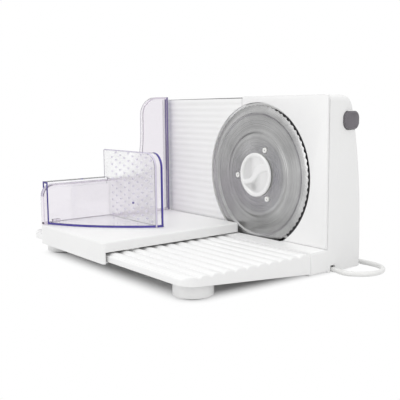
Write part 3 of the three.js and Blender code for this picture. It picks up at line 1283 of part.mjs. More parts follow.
function plugBody({ neck, y, z }) {
  const face = neck + PLUG_LONG;
  const shoulder = face - PLUG_SHOULDER;
  const halfWide = PLUG_WIDE / 2;
  const halfNeck = PLUG_NECK / 2;
  const shape = polygon([
    [neck, y - halfNeck], [shoulder, y - halfWide], [face, y - halfWide],
    [face, y + halfWide], [shoulder, y + halfWide], [neck, y + halfNeck],
  ]);
  const halfHigh = z - FLOOR - CORD_LIFT;
  return alongZ(shape, [z - halfHigh, z + halfHigh], PLUG_EDGE);
}

function plugPin({ neck, y, z }, side) {
  const base = neck + PLUG_LONG + FIT;
  return rodX(PIN_R, [base, base + PIN_LONG], y + side * PIN_APART / 2, z, SMALL_ROUND_STEPS);
}

// Assembly, from the base up
addPart('housing', housing(), whitePlastic);
addPart('front_panel', frontPanel(), whitePlastic);
addPart('base_cover', baseCover(), whitePlastic);
COVER_SCREW_PLACES.forEach(([x, y], i) => {
  addPart(`cover_screw_${i + 1}`, screwZ(x, y, COVER_UNDER - FIT - SCREW_HEAD), zincSteel);
});
addPart('base_tray', baseTray(), whitePlastic);
TRAY_SCREW_X.forEach((x, i) => addPart(`tray_screw_${i + 1}`, trayScrew(x), zincSteel));
for (const [side, place] of Object.entries(FOOT_PLACES)) {
  addPart(`front_foot_${side}`, frontFoot(place), whitePlastic);
  addPart(`foot_pad_${side}`, footPad(place), rubber);
}
addPart('rear_foot_left', rearFoot(REAR_FOOT_X[0]), rubber);
addPart('rear_foot_right', rearFoot(REAR_FOOT_X[1]), rubber);

addPart('motor_can', motorCan(), zincSteel);
addPart('motor_cap', motorCap(), darkPlastic);
addPart('motor_saddle', motorSaddle(), nylon);
addPart('motor_strap', motorStrap(), zincSteel);
addPart('worm_shaft', wormShaft(), steel);
addPart('shaft_bearing', shaftBearing(), nylon);
addPart('worm_wheel', wormWheel(), nylon);
addPart('spindle', spindle(), steel);
addPart('blade', blade(), steel);
addPart('lock_knob', lockKnob(), whitePlastic);

addPart('gauge_plate', gaugePlate(), whitePlastic);
addPart('gauge_slide', gaugeSlide(), nylon);
addPart('guide_rod_upper', guideRod(ROD_Z[0]), steel);
addPart('guide_rod_lower', guideRod(ROD_Z[1]), steel);
addPart('thickness_cam', thicknessCam(), nylon);
addPart('thickness_knob', thicknessKnob(), whitePlastic);

addPart('carriage_table', carriageTable(), whitePlastic);
addPart('end_guard', endGuard(), clearPlastic);
GUARD_SCREW_Y.forEach((y, i) => {
  addPart(`guard_screw_${i + 1}`, screwZ(GUARD_SCREW_X, y, TABLE_TOP - WALL - FIT - SCREW_HEAD), nylon);
});
addPart('food_pusher', foodPusher(), clearPlastic);
addPart('pusher_plate', pusherPlate(), clearPlastic);

addPart('switch_button', switchButton(), darkPlastic);
addPart('switch_body', switchBody(), darkPlastic);

addPart('cord_clamp', cordClamp(), whitePlastic);
addPart('cord_sleeve', cordSleeve(), whiteCord);
addPart('cord', freeCord(), whiteCord);
const coil = coilPoints();
console.log(`least gap of the coil to itself: ${leastGap(coil).toFixed(2)} mm`);
addPart('cord_coil', cordCoil(coil), whiteCord);
addPart('cord_tie', cordTie(), darkPlastic);
const plug = plugPlace(coil);
addPart('plug', plugBody(plug), whiteCord);
addPart('plug_pin_1', plugPin(plug, -1), zincSteel);
addPart('plug_pin_2', plugPin(plug, 1), zincSteel);

export default machine;
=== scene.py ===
import math
import bmesh
import bpy
from mathutils import Matrix, Vector


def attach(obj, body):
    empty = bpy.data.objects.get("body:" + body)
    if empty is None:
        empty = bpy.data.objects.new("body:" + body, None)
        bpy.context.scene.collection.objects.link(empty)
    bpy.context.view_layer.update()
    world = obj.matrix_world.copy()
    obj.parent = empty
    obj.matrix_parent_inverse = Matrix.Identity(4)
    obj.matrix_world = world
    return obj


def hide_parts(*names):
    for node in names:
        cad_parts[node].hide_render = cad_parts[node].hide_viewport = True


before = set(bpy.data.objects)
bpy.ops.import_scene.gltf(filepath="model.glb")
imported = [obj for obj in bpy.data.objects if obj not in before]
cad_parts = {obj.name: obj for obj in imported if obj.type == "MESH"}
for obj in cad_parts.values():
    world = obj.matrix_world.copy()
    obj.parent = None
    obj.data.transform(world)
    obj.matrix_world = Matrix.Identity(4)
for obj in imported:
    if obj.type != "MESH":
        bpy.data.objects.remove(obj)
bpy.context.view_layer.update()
scene = bpy.context.scene
scene.view_settings.view_transform = "Standard"


# Studio sheet: one wide pale table that the slicer stands on, which runs on as a white backdrop.
# It is matt paper, white to the eye, and it keeps the soft shadow below the base.
def feed(tree, node, inputs):
    """Sets a node's inputs: each is a number, a colour or the socket that feeds it."""
    for name, value in inputs.items():
        if isinstance(value, bpy.types.NodeSocket):
            tree.links.new(value, node.inputs[name])
        else:
            node.inputs[name].default_value = value


def add_node(tree, kind, inputs=None, **settings):
    """A new shader or geometry node with its settings and inputs."""
    node = tree.nodes.new(kind)
    for name, value in settings.items():
        setattr(node, name, value)
    feed(tree, node, inputs or {})
    return node


def sum_of(tree, operation, *values):
    """The result of one sum on numbers."""
    return add_node(tree, "ShaderNodeMath", dict(enumerate(values)), operation=operation).outputs[0]


def vector_sum(tree, operation, *values):
    """The result of one sum on places, which is a number for a length or a dot product."""
    node = add_node(tree, "ShaderNodeVectorMath", dict(enumerate(values)), operation=operation)
    return node.outputs["Value" if operation in ("LENGTH", "DOT_PRODUCT") else "Vector"]


def ranged(tree, value, start, end, low, high, curve="LINEAR"):
    """A value carried over from one range to another and held at its ends."""
    return add_node(tree, "ShaderNodeMapRange", {
        "Value": value, "From Min": start, "From Max": end, "To Min": low, "To Max": high},
        interpolation_type=curve).outputs[0]


def blend(tree, share, first, second):
    """One shader that gives way to another by a share."""
    return add_node(tree, "ShaderNodeMixShader", {
        0: share, 1: first.outputs[0], 2: second.outputs[0]}).outputs[0]


def object_place(tree):
    return add_node(tree, "ShaderNodeTexCoord").outputs["Object"]


def seen_directly(tree):
    """One for rays from the camera, from gloss and through clear plastic, else nothing."""
    path = add_node(tree, "ShaderNodeLightPath").outputs
    sharp = sum_of(tree, "MAXIMUM", path["Is Camera Ray"], path["Is Glossy Ray"])
    return sum_of(tree, "MAXIMUM", sharp, path["Is Transmission Ray"])


def new_material(name):
    """A material with its node tree and the shader in it."""
    material = bpy.data.materials.new(name)
    material.use_nodes = True
    tree = material.node_tree
    return material, tree, tree.nodes["Principled BSDF"]


def link_object(name, data):
    obj = bpy.data.objects.new(name, data)
    scene.collection.objects.link(obj)
    return obj


def stage_sheet(name, corners, material):
    """A flat piece of the studio."""
    mesh = bpy.data.meshes.new(name)
    mesh.from_pydata(corners, [], [(0, 1, 2, 3)])
    mesh.materials.append(material)
    sheet = link_object(name, mesh)
    return sheet


def rectangle(left, right, foot, top):
    return [(left, foot), (right, foot), (right, top), (left, top)]


sheet_half, sheet_level = 6.0, -0.0004
shadow_half, shadow_fade = (0.12, 0.085, 1.0), 0.032
pure_white, paper_tone = (1, 1, 1, 1), (0.8, 0.8, 0.8, 1)


def studio_paper():
    """Matt paper that fades to pure white outside the box that holds the shadow."""
    material, tree, _ = new_material("studio_paper")
    tree.nodes.clear()
    beside = vector_sum(tree, "ABSOLUTE", object_place(tree))
    past = vector_sum(tree, "SUBTRACT", beside, shadow_half)
    far = vector_sum(tree, "LENGTH", vector_sum(tree, "MAXIMUM", past, (0, 0, 0)))
    fade = ranged(tree, far, 0.0, shadow_fade, 0.0, 1.0, "SMOOTHSTEP")
    white = sum_of(tree, "MULTIPLY", fade, seen_directly(tree))
    matt = add_node(tree, "ShaderNodeBsdfDiffuse", {"Color": paper_tone})
    glow = add_node(tree, "ShaderNodeEmission", {"Color": pure_white})
    add_node(tree, "ShaderNodeOutputMaterial", {"Surface": blend(tree, white, matt, glow)})
    return material


sheet_outline = rectangle(-sheet_half, sheet_half, -sheet_half, sheet_half)
stage_sheet("studio_sheet", [(x, y, sheet_level) for x, y in sheet_outline], studio_paper())


# Studio light: a bright room with one large soft lamp above the front of the table, a small one low in
# front and a weaker one on the camera's side. A dark cloth at the left is seen only by glossy surfaces:
# it draws the steps of the steel disc. The room is white behind the object.
room = bpy.data.worlds.new("studio_room")
room.use_nodes = True
room_tree = room.node_tree
room_tree.nodes.clear()
room_fill = add_node(room_tree, "ShaderNodeBackground", {"Color": pure_white, "Strength": 0.82})
room_white = add_node(room_tree, "ShaderNodeBackground", {"Color": pure_white, "Strength": 1.0})
room_seen = blend(room_tree, seen_directly(room_tree), room_fill, room_white)
add_node(room_tree, "ShaderNodeOutputWorld", {"Surface": room_seen})
scene.world = room


def soft_lamp(name, place, target, size, power):
    lamp = bpy.data.lights.new(name, "AREA")
    lamp.shape = "SQUARE"
    lamp.size = size
    lamp.energy = power
    holder = link_object(name, lamp)
    holder.location = place
    holder.rotation_euler = (Vector(target) - Vector(place)).to_track_quat("-Z", "Y").to_euler()


soft_lamp("key_lamp", (-0.2, -0.45, 1.85), (0.0, 0.0, 0.05), 1.3, 11.0)
soft_lamp("front_lamp", (-0.3, -1.4, 0.3), (0.0, 0.0, 0.09), 0.5, 1.8)
soft_lamp("side_lamp", (1.7, -0.5, 0.9), (0.0, 0.0, 0.08), 1.0, 4.3)

flag_x, flag_near, flag_far, flag_top = -1.0, -0.5, 0.6, 0.8
flag_outline = rectangle(flag_near, flag_far, 0, flag_top)
flag_cloth, _, flag_shader = new_material("flag_cloth")
flag_shader.inputs["Base Color"].default_value = (0.02, 0.02, 0.02, 1)
dark_flag = stage_sheet("dark_flag", [(flag_x, y, z) for y, z in flag_outline], flag_cloth)
dark_flag.visible_camera = False
dark_flag.visible_transmission = False
dark_flag.visible_diffuse = False
dark_flag.visible_shadow = False


# Camera: a long lens at the height of the machine, between its front and its right side. Its place, turn
# and lens were fitted to the photograph.
camera_place = Vector((0.58246, -0.43636, 0.16471))
yaw, pitch, roll = (math.radians(angle) for angle in (52.113, 7.862, 0.557))
camera_lens = bpy.data.cameras.new("camera")
camera_lens.sensor_width = 36.0
camera_lens.lens = 60.65
camera_lens.clip_start = 0.01
camera = link_object("camera", camera_lens)
look = Vector((-math.sin(yaw) * math.cos(pitch), math.cos(yaw) * math.cos(pitch), -math.sin(pitch)))
level = Vector((math.cos(yaw), math.sin(yaw), 0))
down = look.cross(level)
right = math.cos(roll) * level + math.sin(roll) * down
low = -math.sin(roll) * level + math.cos(roll) * down
camera.matrix_world = Matrix((
    (right.x, -low.x, -look.x, camera_place.x),
    (right.y, -low.y, -look.y, camera_place.y),
    (right.z, -low.z, -look.z, camera_place.z),
    (0, 0, 0, 1)))
scene.camera = camera


# Housing: one hollow injection moulding in white ABS that carries everything else, with a long base,
# a tower for the blade and a low wing for the gauge. Its rear corner is well rounded.
blade_x, blade_y, blade_z = 48.0, 57.5, 91.5


def at(x, y, z):
    """A place in millimetres from the blade's centre, as metres in the frame."""
    return Vector(((x + blade_x) / 1000, (y + blade_y) / 1000, (z + blade_z) / 1000))


blade_centre = at(0, 0, 0)


def noise(tree, place, scale, detail):
    return add_node(tree, "ShaderNodeTexNoise", {
        "Vector": place, "Scale": scale, "Detail": detail}).outputs[0]


def scaled(tree, colour, share):
    return add_node(tree, "ShaderNodeVectorMath", {0: colour, "Scale": share}, operation="SCALE").outputs[0]


def grain_group():
    """Fine moulded grain: a mottled tint, an uneven gloss and the height of the grain."""
    group = bpy.data.node_groups.new("moulded_grain", "ShaderNodeTree")
    taken = ("Colour", "Color"), ("Gloss", "Float"), ("Grain Scale", "Float"), ("Mottle", "Float")
    given_back = ("Colour", "Color"), ("Roughness", "Float"), ("Height", "Float")
    for way, sockets in (("INPUT", taken), ("OUTPUT", given_back)):
        for name, kind in sockets:
            group.interface.new_socket(name, in_out=way, socket_type="NodeSocket" + kind)
    given = add_node(group, "NodeGroupInput").outputs
    place = object_place(group)
    grain = noise(group, place, given["Grain Scale"], 2.0)
    cloud = noise(group, place, 14.0, 3.0)
    darkest = sum_of(group, "SUBTRACT", 1.0, given["Mottle"])
    tint = scaled(group, given["Colour"], ranged(group, cloud, 0.35, 0.65, 1.0, darkest))
    uneven = ranged(group, grain, 0.3, 0.7, -0.05, 0.06)
    rough = add_node(group, "ShaderNodeMath", {0: given["Gloss"], 1: uneven}, operation="ADD", use_clamp=True)
    add_node(group, "NodeGroupOutput", {"Colour": tint, "Roughness": rough.outputs[0], "Height": grain})
    return group


moulded_grain = grain_group()


def grained(name, colour, gloss, grain_scale, mottle, depth, strength=0.35):
    """An opaque finish: its colour, gloss, grain per metre, mottling and the grain's depth."""
    material, tree, shader = new_material(name)
    grain = add_node(tree, "ShaderNodeGroup", {
        "Colour": (*colour, 1), "Gloss": gloss, "Grain Scale": grain_scale, "Mottle": mottle},
        node_tree=moulded_grain).outputs
    bump = add_node(tree, "ShaderNodeBump", {
        "Strength": strength, "Distance": depth, "Height": grain["Height"]})
    feed(tree, shader, {
        "Base Color": grain["Colour"], "Roughness": grain["Roughness"], "Normal": bump.outputs["Normal"]})
    return material


white_abs = grained("white_abs", (0.86, 0.86, 0.857), 0.42, 1400.0, 0.02, 0.0002)


def smooth(mesh, sharp=32):
    """Shades a mesh as smooth up to a sharp angle in degrees."""
    mesh.shade_smooth()
    mesh.set_sharp_from_angle(angle=math.radians(sharp))


def finish_mesh(mesh, material, sharp=32):
    mesh.materials.clear()
    mesh.materials.append(material)
    smooth(mesh, sharp)


def keep_mesh(work, name):
    """The finished mesh of a work mesh."""
    mesh = bpy.data.meshes.new(name)
    work.to_mesh(mesh)
    work.free()
    return mesh


def soften(obj, width):
    """Rounds the edges of a moulding by a width in millimetres."""
    bevel = obj.modifiers.new("edge", "BEVEL")
    bevel.width = width / 1000
    bevel.segments = 2
    bevel.limit_method = "ANGLE"
    bevel.angle_limit = math.radians(34)
    bevel.use_clamp_overlap = False
    bevel.harden_normals = True


def fit(obj, body, slot, *nodes):
    """The piece moves with that body and stands for those solids, if any. Its slot is not used."""
    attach(obj, body)
    if nodes:
        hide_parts(*nodes)
    return obj


def dress(node, name, material, body, slot, edge=0.0):
    """Stands a copy of a solid in its place, with its flat faces made whole and its edges softened."""
    work = bmesh.new()
    work.from_mesh(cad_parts[node].data)
    bmesh.ops.remove_doubles(work, verts=work.verts, dist=2e-6)
    bmesh.ops.dissolve_limit(
        work, angle_limit=math.radians(0.6), verts=work.verts, edges=work.edges, delimit={"NORMAL"})
    piece = link_object(name, keep_mesh(work, name))
    finish_mesh(piece.data, material)
    if edge:
        soften(piece, edge)
    fit(piece, body, slot, node)


dress("housing", "housing_shell", white_abs, "base", "white_plastic")


# Base cover: a plate of the same white ABS, let into the housing's underside to close the motor space.
# Four screws hold it.
dress("base_cover", "base_plate", white_abs, "base", "white_plastic")


# Base tray: a wide moulding in white ABS, screwed to the front of the base and ribbed across its top so
# that the carriage runs easily. Its skirt deepens towards the rear, and a round foot stands under each
# front corner. The pads under these feet and under the housing's rear are black rubber.
def mesh_object(name, points, faces, material, sharp=32):
    """A closed mesh from points in millimetres, with its faces turned outwards."""
    mesh = bpy.data.meshes.new(name)
    mesh.from_pydata([at(*point) for point in points], [], faces)
    work = bmesh.new()
    work.from_mesh(mesh)
    bmesh.ops.remove_doubles(work, verts=work.verts, dist=1e-6)
    bmesh.ops.recalc_face_normals(work, faces=work.faces)
    work.to_mesh(mesh)
    work.free()
    finish_mesh(mesh, material, sharp)
    return link_object(name, mesh)


def loft(name, rings, material, sharp=32, wrapped=False):
    """A skin over equal closed rings, capped at its ends or joined round to its start."""
    count = len(rings[0])
    points = [point for ring in rings for point in ring]
    faces = []
    for i in range(len(rings) if wrapped else len(rings) - 1):
        first = i * count
        after = (i + 1) % len(rings) * count
        for k in range(count):
            n = (k + 1) % count
            faces.append((first + k, first + n, after + n, after + k))
    if not wrapped:
        faces.append(tuple(range(count)))
        faces.append(tuple(range(len(points) - count, len(points))))
    return mesh_object(name, points, faces, material, sharp)


def arc(cx, cy, radius, start, end, steps):
    """Points on an arc, from one angle in degrees to another."""
    angles = [math.radians(start + (end - start) * i / steps) for i in range(steps + 1)]
    return [(cx + radius * math.cos(a), cy + radius * math.sin(a)) for a in angles]


tray_left, tray_right, tray_front, tray_rear = -200.0, 100.0, -172.0, -22.4
tray_corner, tray_edge, tray_wall, tray_slice = 14.0, 1.5, 2.5, 0.7
tray_valley, tray_under = -68.8, -71.3
skirt_start, skirt_foot, skirt_fall = -80.0, -75.0, 12.4
rib_count, rib_pitch, rib_half, rib_high = 11, 13.4, 5.0, 1.8


def tray_ring(inset, height):
    radius = tray_corner - inset
    left = arc(tray_left + tray_corner, tray_front + tray_corner, radius, 180, 270, 10)
    right = arc(tray_right - tray_corner, tray_front + tray_corner, radius, 270, 360, 10)
    rear = tray_rear - inset
    ring = [(tray_left + inset, rear), *left, *right, (tray_right - inset, rear)]
    return [(x, y, height) for x, y in ring]


def rib_height(y):
    """Height of the tray's round ribs above the valleys between them."""
    middle = (tray_front + tray_rear) / 2
    nearest = round((y - middle) / rib_pitch)
    offset = abs(y - middle - nearest * rib_pitch) / rib_half
    if abs(nearest) > rib_count // 2 or offset >= 1:
        return 0.0
    return rib_high * math.sqrt(1 - offset ** 2)


def edge_round(radius, angles):
    """How far a rounded edge is drawn in and set back, at angles in degrees."""
    turns = [math.radians(angle) for angle in angles]
    return [(radius * (1 - math.cos(turn)), radius * (1 - math.sin(turn))) for turn in turns]


def tray_moulding():
    """A shell that is sliced along Y, so that its top takes the ribs and its skirt the slope."""
    rings = [tray_ring(tray_wall, tray_under), tray_ring(tray_wall, skirt_start), tray_ring(0, skirt_start)]
    for inset, fall in edge_round(tray_edge, (0, 22, 45, 67, 90)):
        rings.append(tray_ring(inset, tray_valley - fall))
    tray = loft("tray_moulding", rings, white_abs, sharp=50)
    work = bmesh.new()
    work.from_mesh(tray.data)
    steps = int((tray_rear - tray_front) / tray_slice)
    for i in range(1, steps):
        y = tray_front + (tray_rear - tray_front) * i / steps
        whole = work.verts[:] + work.edges[:] + work.faces[:]
        bmesh.ops.bisect_plane(work, geom=whole, plane_co=at(0, y, 0), plane_no=(0, 1, 0))
    for vert in work.verts:
        y = (vert.co.y - blade_centre.y) * 1000
        z = (vert.co.z - blade_centre.z) * 1000
        if z > tray_valley - tray_edge - 0.01:
            vert.co.z += rib_height(y) / 1000
        elif z < tray_under - 1:
            slope = (y - tray_front) / (tray_rear - tray_front)
            vert.co.z = at(0, 0, skirt_foot - skirt_fall * slope).z
    work.to_mesh(tray.data)
    work.free()
    finish_mesh(tray.data, white_abs, 50)
    return tray


fit(tray_moulding(), "base", "white_plastic", "base_tray")
for side in ("left", "right"):
    dress(f"front_foot_{side}", f"foot_post_{side}", white_abs, "base", "white_plastic", 0.8)

black_rubber = grained("black_rubber", (0.03, 0.03, 0.032), 0.75, 900.0, 0.1, 0.0004)
for side in ("left", "right"):
    dress(f"foot_pad_{side}", f"pad_{side}", black_rubber, "base", "rubber", 0.5)
    dress(f"rear_foot_{side}", f"rear_pad_{side}", black_rubber, "base", "rubber", 0.8)


# Front panel: a flat moulding in white ABS, clipped into the tower's front. Its round opening has a collar
# behind it and a dish that closes the tower off behind the blade. A dark sheet in the gap behind the blade's
# edge is painted shade.
panel_left, panel_right, panel_foot, panel_top, panel_thick = -23.5, 99.4, -66.3, 83.6, 2.2
opening_r, collar_wall, collar_front, collar_start, collar_turn = 77.5, 2.2, 0.5, -54.0, 160.0
dish_front, dish_rear, dish_foot, dish_gap, hub_hole = 3.2, 5.4, -63.8, 0.4, 40.0


def panel_ring(inset, y):
    radius = opening_r + inset
    start = math.degrees(math.acos((panel_left + inset) / radius))
    end = math.degrees(math.asin((panel_foot + inset) / radius))
    ring = arc(0, 0, radius, start, end, 96)
    ring += [(panel_right - inset, panel_foot + inset), (panel_right - inset, panel_top - inset)]
    ring += [(panel_left + inset, panel_top - inset)]
    return [(x, y, z) for x, z in ring]


def turned_cut(angle, inner, outer, front, rear):
    """A cut through a turned piece between two radii and two depths, at an angle in degrees."""
    c, s = math.cos(math.radians(angle)), math.sin(math.radians(angle))
    return [(r * c, y, r * s) for r, y in rectangle(inner, outer, front, rear)]


def dish_cut(angle):
    reach = opening_r - dish_gap
    fall = -math.sin(math.radians(angle))
    if fall > 0:
        reach = min(reach, -dish_foot / fall)
    return turned_cut(angle, hub_hole, reach, dish_front, dish_rear)


def gather(name, pieces, material):
    """One object from several closed pieces of the same moulding."""
    work = bmesh.new()
    for piece in pieces:
        work.from_mesh(piece.data)
        bpy.data.objects.remove(piece)
    mesh = keep_mesh(work, name)
    finish_mesh(mesh, material)
    return link_object(name, mesh)


panel_edge = (0, panel_thick), (0, 0.4), (0.12, 0.12), (0.4, 0)
panel_plate = loft("panel_plate", [panel_ring(inset, y) for inset, y in panel_edge], white_abs)
collar_cuts = []
for i in range(97):
    angle = collar_start + collar_turn * i / 96
    collar_cuts.append(turned_cut(angle, opening_r, opening_r + collar_wall, collar_front, dish_rear))
panel_collar = loft("panel_collar", collar_cuts, white_abs)
panel_dish = loft("panel_dish", [dish_cut(360 * i / 144) for i in range(144)], white_abs, wrapped=True)
panel_face = gather("panel_face", [panel_plate, panel_collar, panel_dish], white_abs)
fit(panel_face, "base", "white_plastic", "front_panel")

# Dark grey moulding for the dark parts, and also the colour of the pieces that are painted shade: the sheet
# behind the blade's edge and the strip along the gauge's top.
dark_moulding_and_shade = grained("dark_moulding_and_shade", (0.06, 0.058, 0.062), 0.55, 1100.0, 0.08, 0.0003)
# A dark sheet of painted shade in the gap behind the blade's edge, from low on the right up round the side.
gap_shade_start, gap_shade_end, gap_shade_front, gap_shade_rear = -54.0, 72.0, 2.4, 3.0
gap_shade_inner, gap_shade_outer, gap_shade_taper = 71.5, 77.2, 2.6


def gap_shade_cut(share):
    """A cut through the sheet of painted shade, which runs out to a thin end at the top."""
    outer = gap_shade_outer - gap_shade_taper * min(max(3 * share - 2, 0), 1)
    angle = gap_shade_start + (gap_shade_end - gap_shade_start) * share
    return turned_cut(angle, gap_shade_inner, outer, gap_shade_front, gap_shade_rear)


gap_lining = loft("gap_lining", [gap_shade_cut(i / 72) for i in range(73)], dark_moulding_and_shade)
fit(gap_lining, "base", "dark_plastic")


# Drive: a motor strapped to a saddle turns a steel worm, and the worm turns a nylon wheel whose three
# white pegs drive the blade. The wheel is moulded, the shafts are turned.
def metal(name, colour, gloss, lines):
    """A turned or plated metal with fine tool marks."""
    material = grained(name, colour, gloss, lines, 0.12, 0.0002, strength=0.2)
    material.node_tree.nodes["Principled BSDF"].inputs["Metallic"].default_value = 1.0
    return material


white_nylon = grained("white_nylon", (0.84, 0.84, 0.82), 0.5, 700.0, 0.05, 0.0003)
zinc_plate = metal("zinc_plate", (0.58, 0.6, 0.62), 0.38, 900.0)
turned_steel = metal("turned_steel", (0.5, 0.5, 0.51), 0.28, 2200.0)

inner_finishes = {
    white_nylon: ("motor_saddle", "shaft_bearing", "gauge_slide", "thickness_cam"),
    zinc_plate: ("motor_can", "motor_strap"),
    turned_steel: ("worm_shaft", "spindle", "guide_rod_upper", "guide_rod_lower"),
    dark_moulding_and_shade: ("motor_cap", "switch_body"),
    white_abs: ("cord_clamp",)}
for material, nodes in inner_finishes.items():
    for node in nodes:
        finish_mesh(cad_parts[node].data, material)

dress("worm_wheel", "drive_wheel", white_nylon, "drive", "nylon")


# Blade: a stainless disc with a pressed ring, faced on a lathe so that it keeps fine round lines, and
# with a ground rim whose edge is waved. Three holes take the pegs of the drive wheel.
blade_r, blade_waves, wave_deep, grind_r, grind_deep = 75.0, 72, 1.1, 70.2, 1.08
blade_front, blade_sheet, blade_steps = -0.4, 1.2, 576
ring_inner, ring_outer, ring_deep, ring_cone, ring_slope = 45.5, 65.3, 0.9, 0.8, 1.4
hole_r, peg_circle, peg_hole_r, peg_start, drill_long = 12.6, 30.0, 3.5, 64.0, 12.0


def soft_step(value, low_end, high_end):
    part = min(max((value - low_end) / (high_end - low_end), 0), 1)
    return part * part * (3 - 2 * part)


def press_depth(radius):
    """How far the sheet is pressed back at a radius, with rounded steps."""
    rise = soft_step(radius, ring_inner - ring_slope, ring_inner + ring_slope)
    fall = soft_step(radius, ring_outer - ring_slope, ring_outer + ring_slope)
    cone = ring_cone * (radius - ring_inner) / (ring_outer - ring_inner)
    return (rise - fall) * (ring_deep + cone)


def blade_section(angle):
    """One cut through the blade, from the hole along the front to the edge and back."""
    edge = blade_r - wave_deep * (1 - math.cos(blade_waves * angle)) / 2
    radii = [hole_r, 16, 20, 26, 33, 40]
    radii += [ring_inner + ring_slope * (i - 5) / 5 for i in range(11)]
    radii += [50, 55, 60]
    radii += [ring_outer + ring_slope * (i - 5) / 5 for i in range(11)]
    radii += [68, 69]
    front = [(radius, blade_front + press_depth(radius)) for radius in radii]
    ground = grind_deep * (edge - grind_r) / (blade_r - grind_r)
    front += [(grind_r, blade_front), (edge, blade_front + ground)]
    back = [(edge, blade_front + blade_sheet)]
    back += [(radius, y + blade_sheet) for radius, y in reversed(front[:-2])]
    return [(r * math.cos(angle), y, r * math.sin(angle)) for r, y in front + back]


def line_noise(tree, along, scale, detail):
    return add_node(tree, "ShaderNodeTexNoise", {
        "W": along, "Scale": scale, "Detail": detail}, noise_dimensions="1D").outputs[0]


def lathe_steel():
    """Stainless steel with fine round lathe lines and slanting grinding lines on its rim."""
    material, tree, shader = new_material("blade_steel")
    centred = vector_sum(tree, "SUBTRACT", object_place(tree), blade_centre)
    radius = vector_sum(tree, "LENGTH", vector_sum(tree, "MULTIPLY", centred, (1, 0, 1)))
    fine = line_noise(tree, radius, 2600.0, 2.0)
    turned = sum_of(tree, "MULTIPLY_ADD", line_noise(tree, radius, 320.0, 1.0), 0.35, fine)
    wrap = add_node(tree, "ShaderNodeUVMap", uv_map="round").outputs[0]
    slant = vector_sum(tree, "DOT_PRODUCT", wrap, (640.0, 90.0, 0.0))
    ground = sum_of(tree, "MULTIPLY", line_noise(tree, slant, 1.0, 2.0), 1.35)
    on_rim = ranged(tree, radius, 0.0668, 0.0675, 0.0, 1.0)
    lines = add_node(tree, "ShaderNodeMix", {"Factor": on_rim, "A": turned, "B": ground}).outputs[0]
    blotch = sum_of(tree, "ADD", lines, noise(tree, centred, 26.0, 3.0))
    tone = ranged(tree, blotch, 0.85, 1.65, 0.29, 0.56)
    shade = sum_of(tree, "MULTIPLY", tone, ranged(tree, on_rim, 0.0, 1.0, 1.0, 1.15))
    bump = add_node(tree, "ShaderNodeBump", {"Strength": 0.12, "Distance": 0.0001, "Height": lines})
    tangent = add_node(tree, "ShaderNodeTangent", direction_type="UV_MAP")
    feed(tree, shader, {
        "Base Color": add_node(tree, "ShaderNodeCombineColor", {0: shade, 1: shade, 2: shade}).outputs[0],
        "Metallic": 1.0, "Anisotropic": 0.82, "Roughness": ranged(tree, fine, 0.3, 0.7, 0.22, 0.32),
        "Normal": bump.outputs["Normal"], "Tangent": tangent.outputs[0]})
    return material


def carry_out(obj, modifier):
    """Turns what a modifier makes of a piece into its own mesh."""
    graph = bpy.context.evaluated_depsgraph_get()
    made = bpy.data.meshes.new_from_object(obj.evaluated_get(graph))
    obj.modifiers.remove(modifier)
    obj.data = made


def join_solids(obj, other, operation):
    """Adds or cuts away another closed piece, which is then removed."""
    change = obj.modifiers.new("join", "BOOLEAN")
    change.operation = operation
    change.solver = "EXACT"
    change.object = other
    carry_out(obj, change)
    bpy.data.objects.remove(other)


def cut_round(obj, places, radius, reach):
    """Drills round holes along Y through a piece, at places in millimetres."""
    work = bmesh.new()
    for x, z in places:
        turn = Matrix.Translation(at(x, 0, z)) @ Matrix.Rotation(math.pi / 2, 4, "X")
        bmesh.ops.create_cone(
            work, cap_ends=True, segments=40, radius1=radius / 1000, radius2=radius / 1000,
            depth=reach / 1000, matrix=turn)
    join_solids(obj, link_object("drill", keep_mesh(work, "drill")), "DIFFERENCE")


def wrap_round(obj):
    """A UV map: turns about the blade's axis, and the radius in tenths of a metre."""
    uv = obj.data.uv_layers.new(name="round")
    for face in obj.data.polygons:
        middle = face.center - blade_centre
        facing = math.atan2(middle.z, middle.x)
        for loop in face.loop_indices:
            offset = obj.data.vertices[obj.data.loops[loop].vertex_index].co - blade_centre
            turn = math.atan2(offset.z, offset.x)
            turn += 2 * math.pi * round((facing - turn) / (2 * math.pi))
            uv.data[loop].uv = (turn / (2 * math.pi), math.hypot(offset.x, offset.z) * 10)


blade_steel = lathe_steel()
blade_cuts = [blade_section(2 * math.pi * i / blade_steps) for i in range(blade_steps)]
blade_disc = loft("blade_disc", blade_cuts, blade_steel, sharp=25, wrapped=True)
peg_angles = [math.radians(peg_start + 120 * i) for i in range(3)]
peg_places = [(peg_circle * math.cos(a), peg_circle * math.sin(a)) for a in peg_angles]
cut_round(blade_disc, peg_places, peg_hole_r, drill_long)
finish_mesh(blade_disc.data, blade_steel, 25)
wrap_round(blade_disc)
fit(blade_disc, "drive", "steel", "blade")


# Blade lock: a knob moulded in white ABS and pushed through the blade's centre, with a bright rim and an
# S-shaped finger bar between two hollows. The hollows carry painted shade by their depth, and a painted
# shadow darkens the lower hollow under the bar's end. A quarter turn frees the blade.
lock_r, lock_front, lock_rear, lock_deep, lock_edge = 23.6, -3.3, -0.7, 2.2, 1.0
lock_neck_r, lock_neck_rear, lock_tilt, lock_steps = 12.0, 8.3, math.radians(33), 180
face_r, face_core, face_rings = 22.3, 0.3, 44
bar_half, bar_gain, bar_slope, bar_sway, bar_wave = 1.4, 1.6, 2.4, 1.8, 30.0
hollow_r, hollow_rim_r, upper_rise, lower_rise = 18.6, 20.8, 0.75, 0.6
# Where the painted shadow under the bar's lower end lies, and how far it fades out.
tip_shadow_x, tip_shadow_z, tip_shadow_core, tip_shadow_reach = -3.4, -13.4, 1.5, 6.0


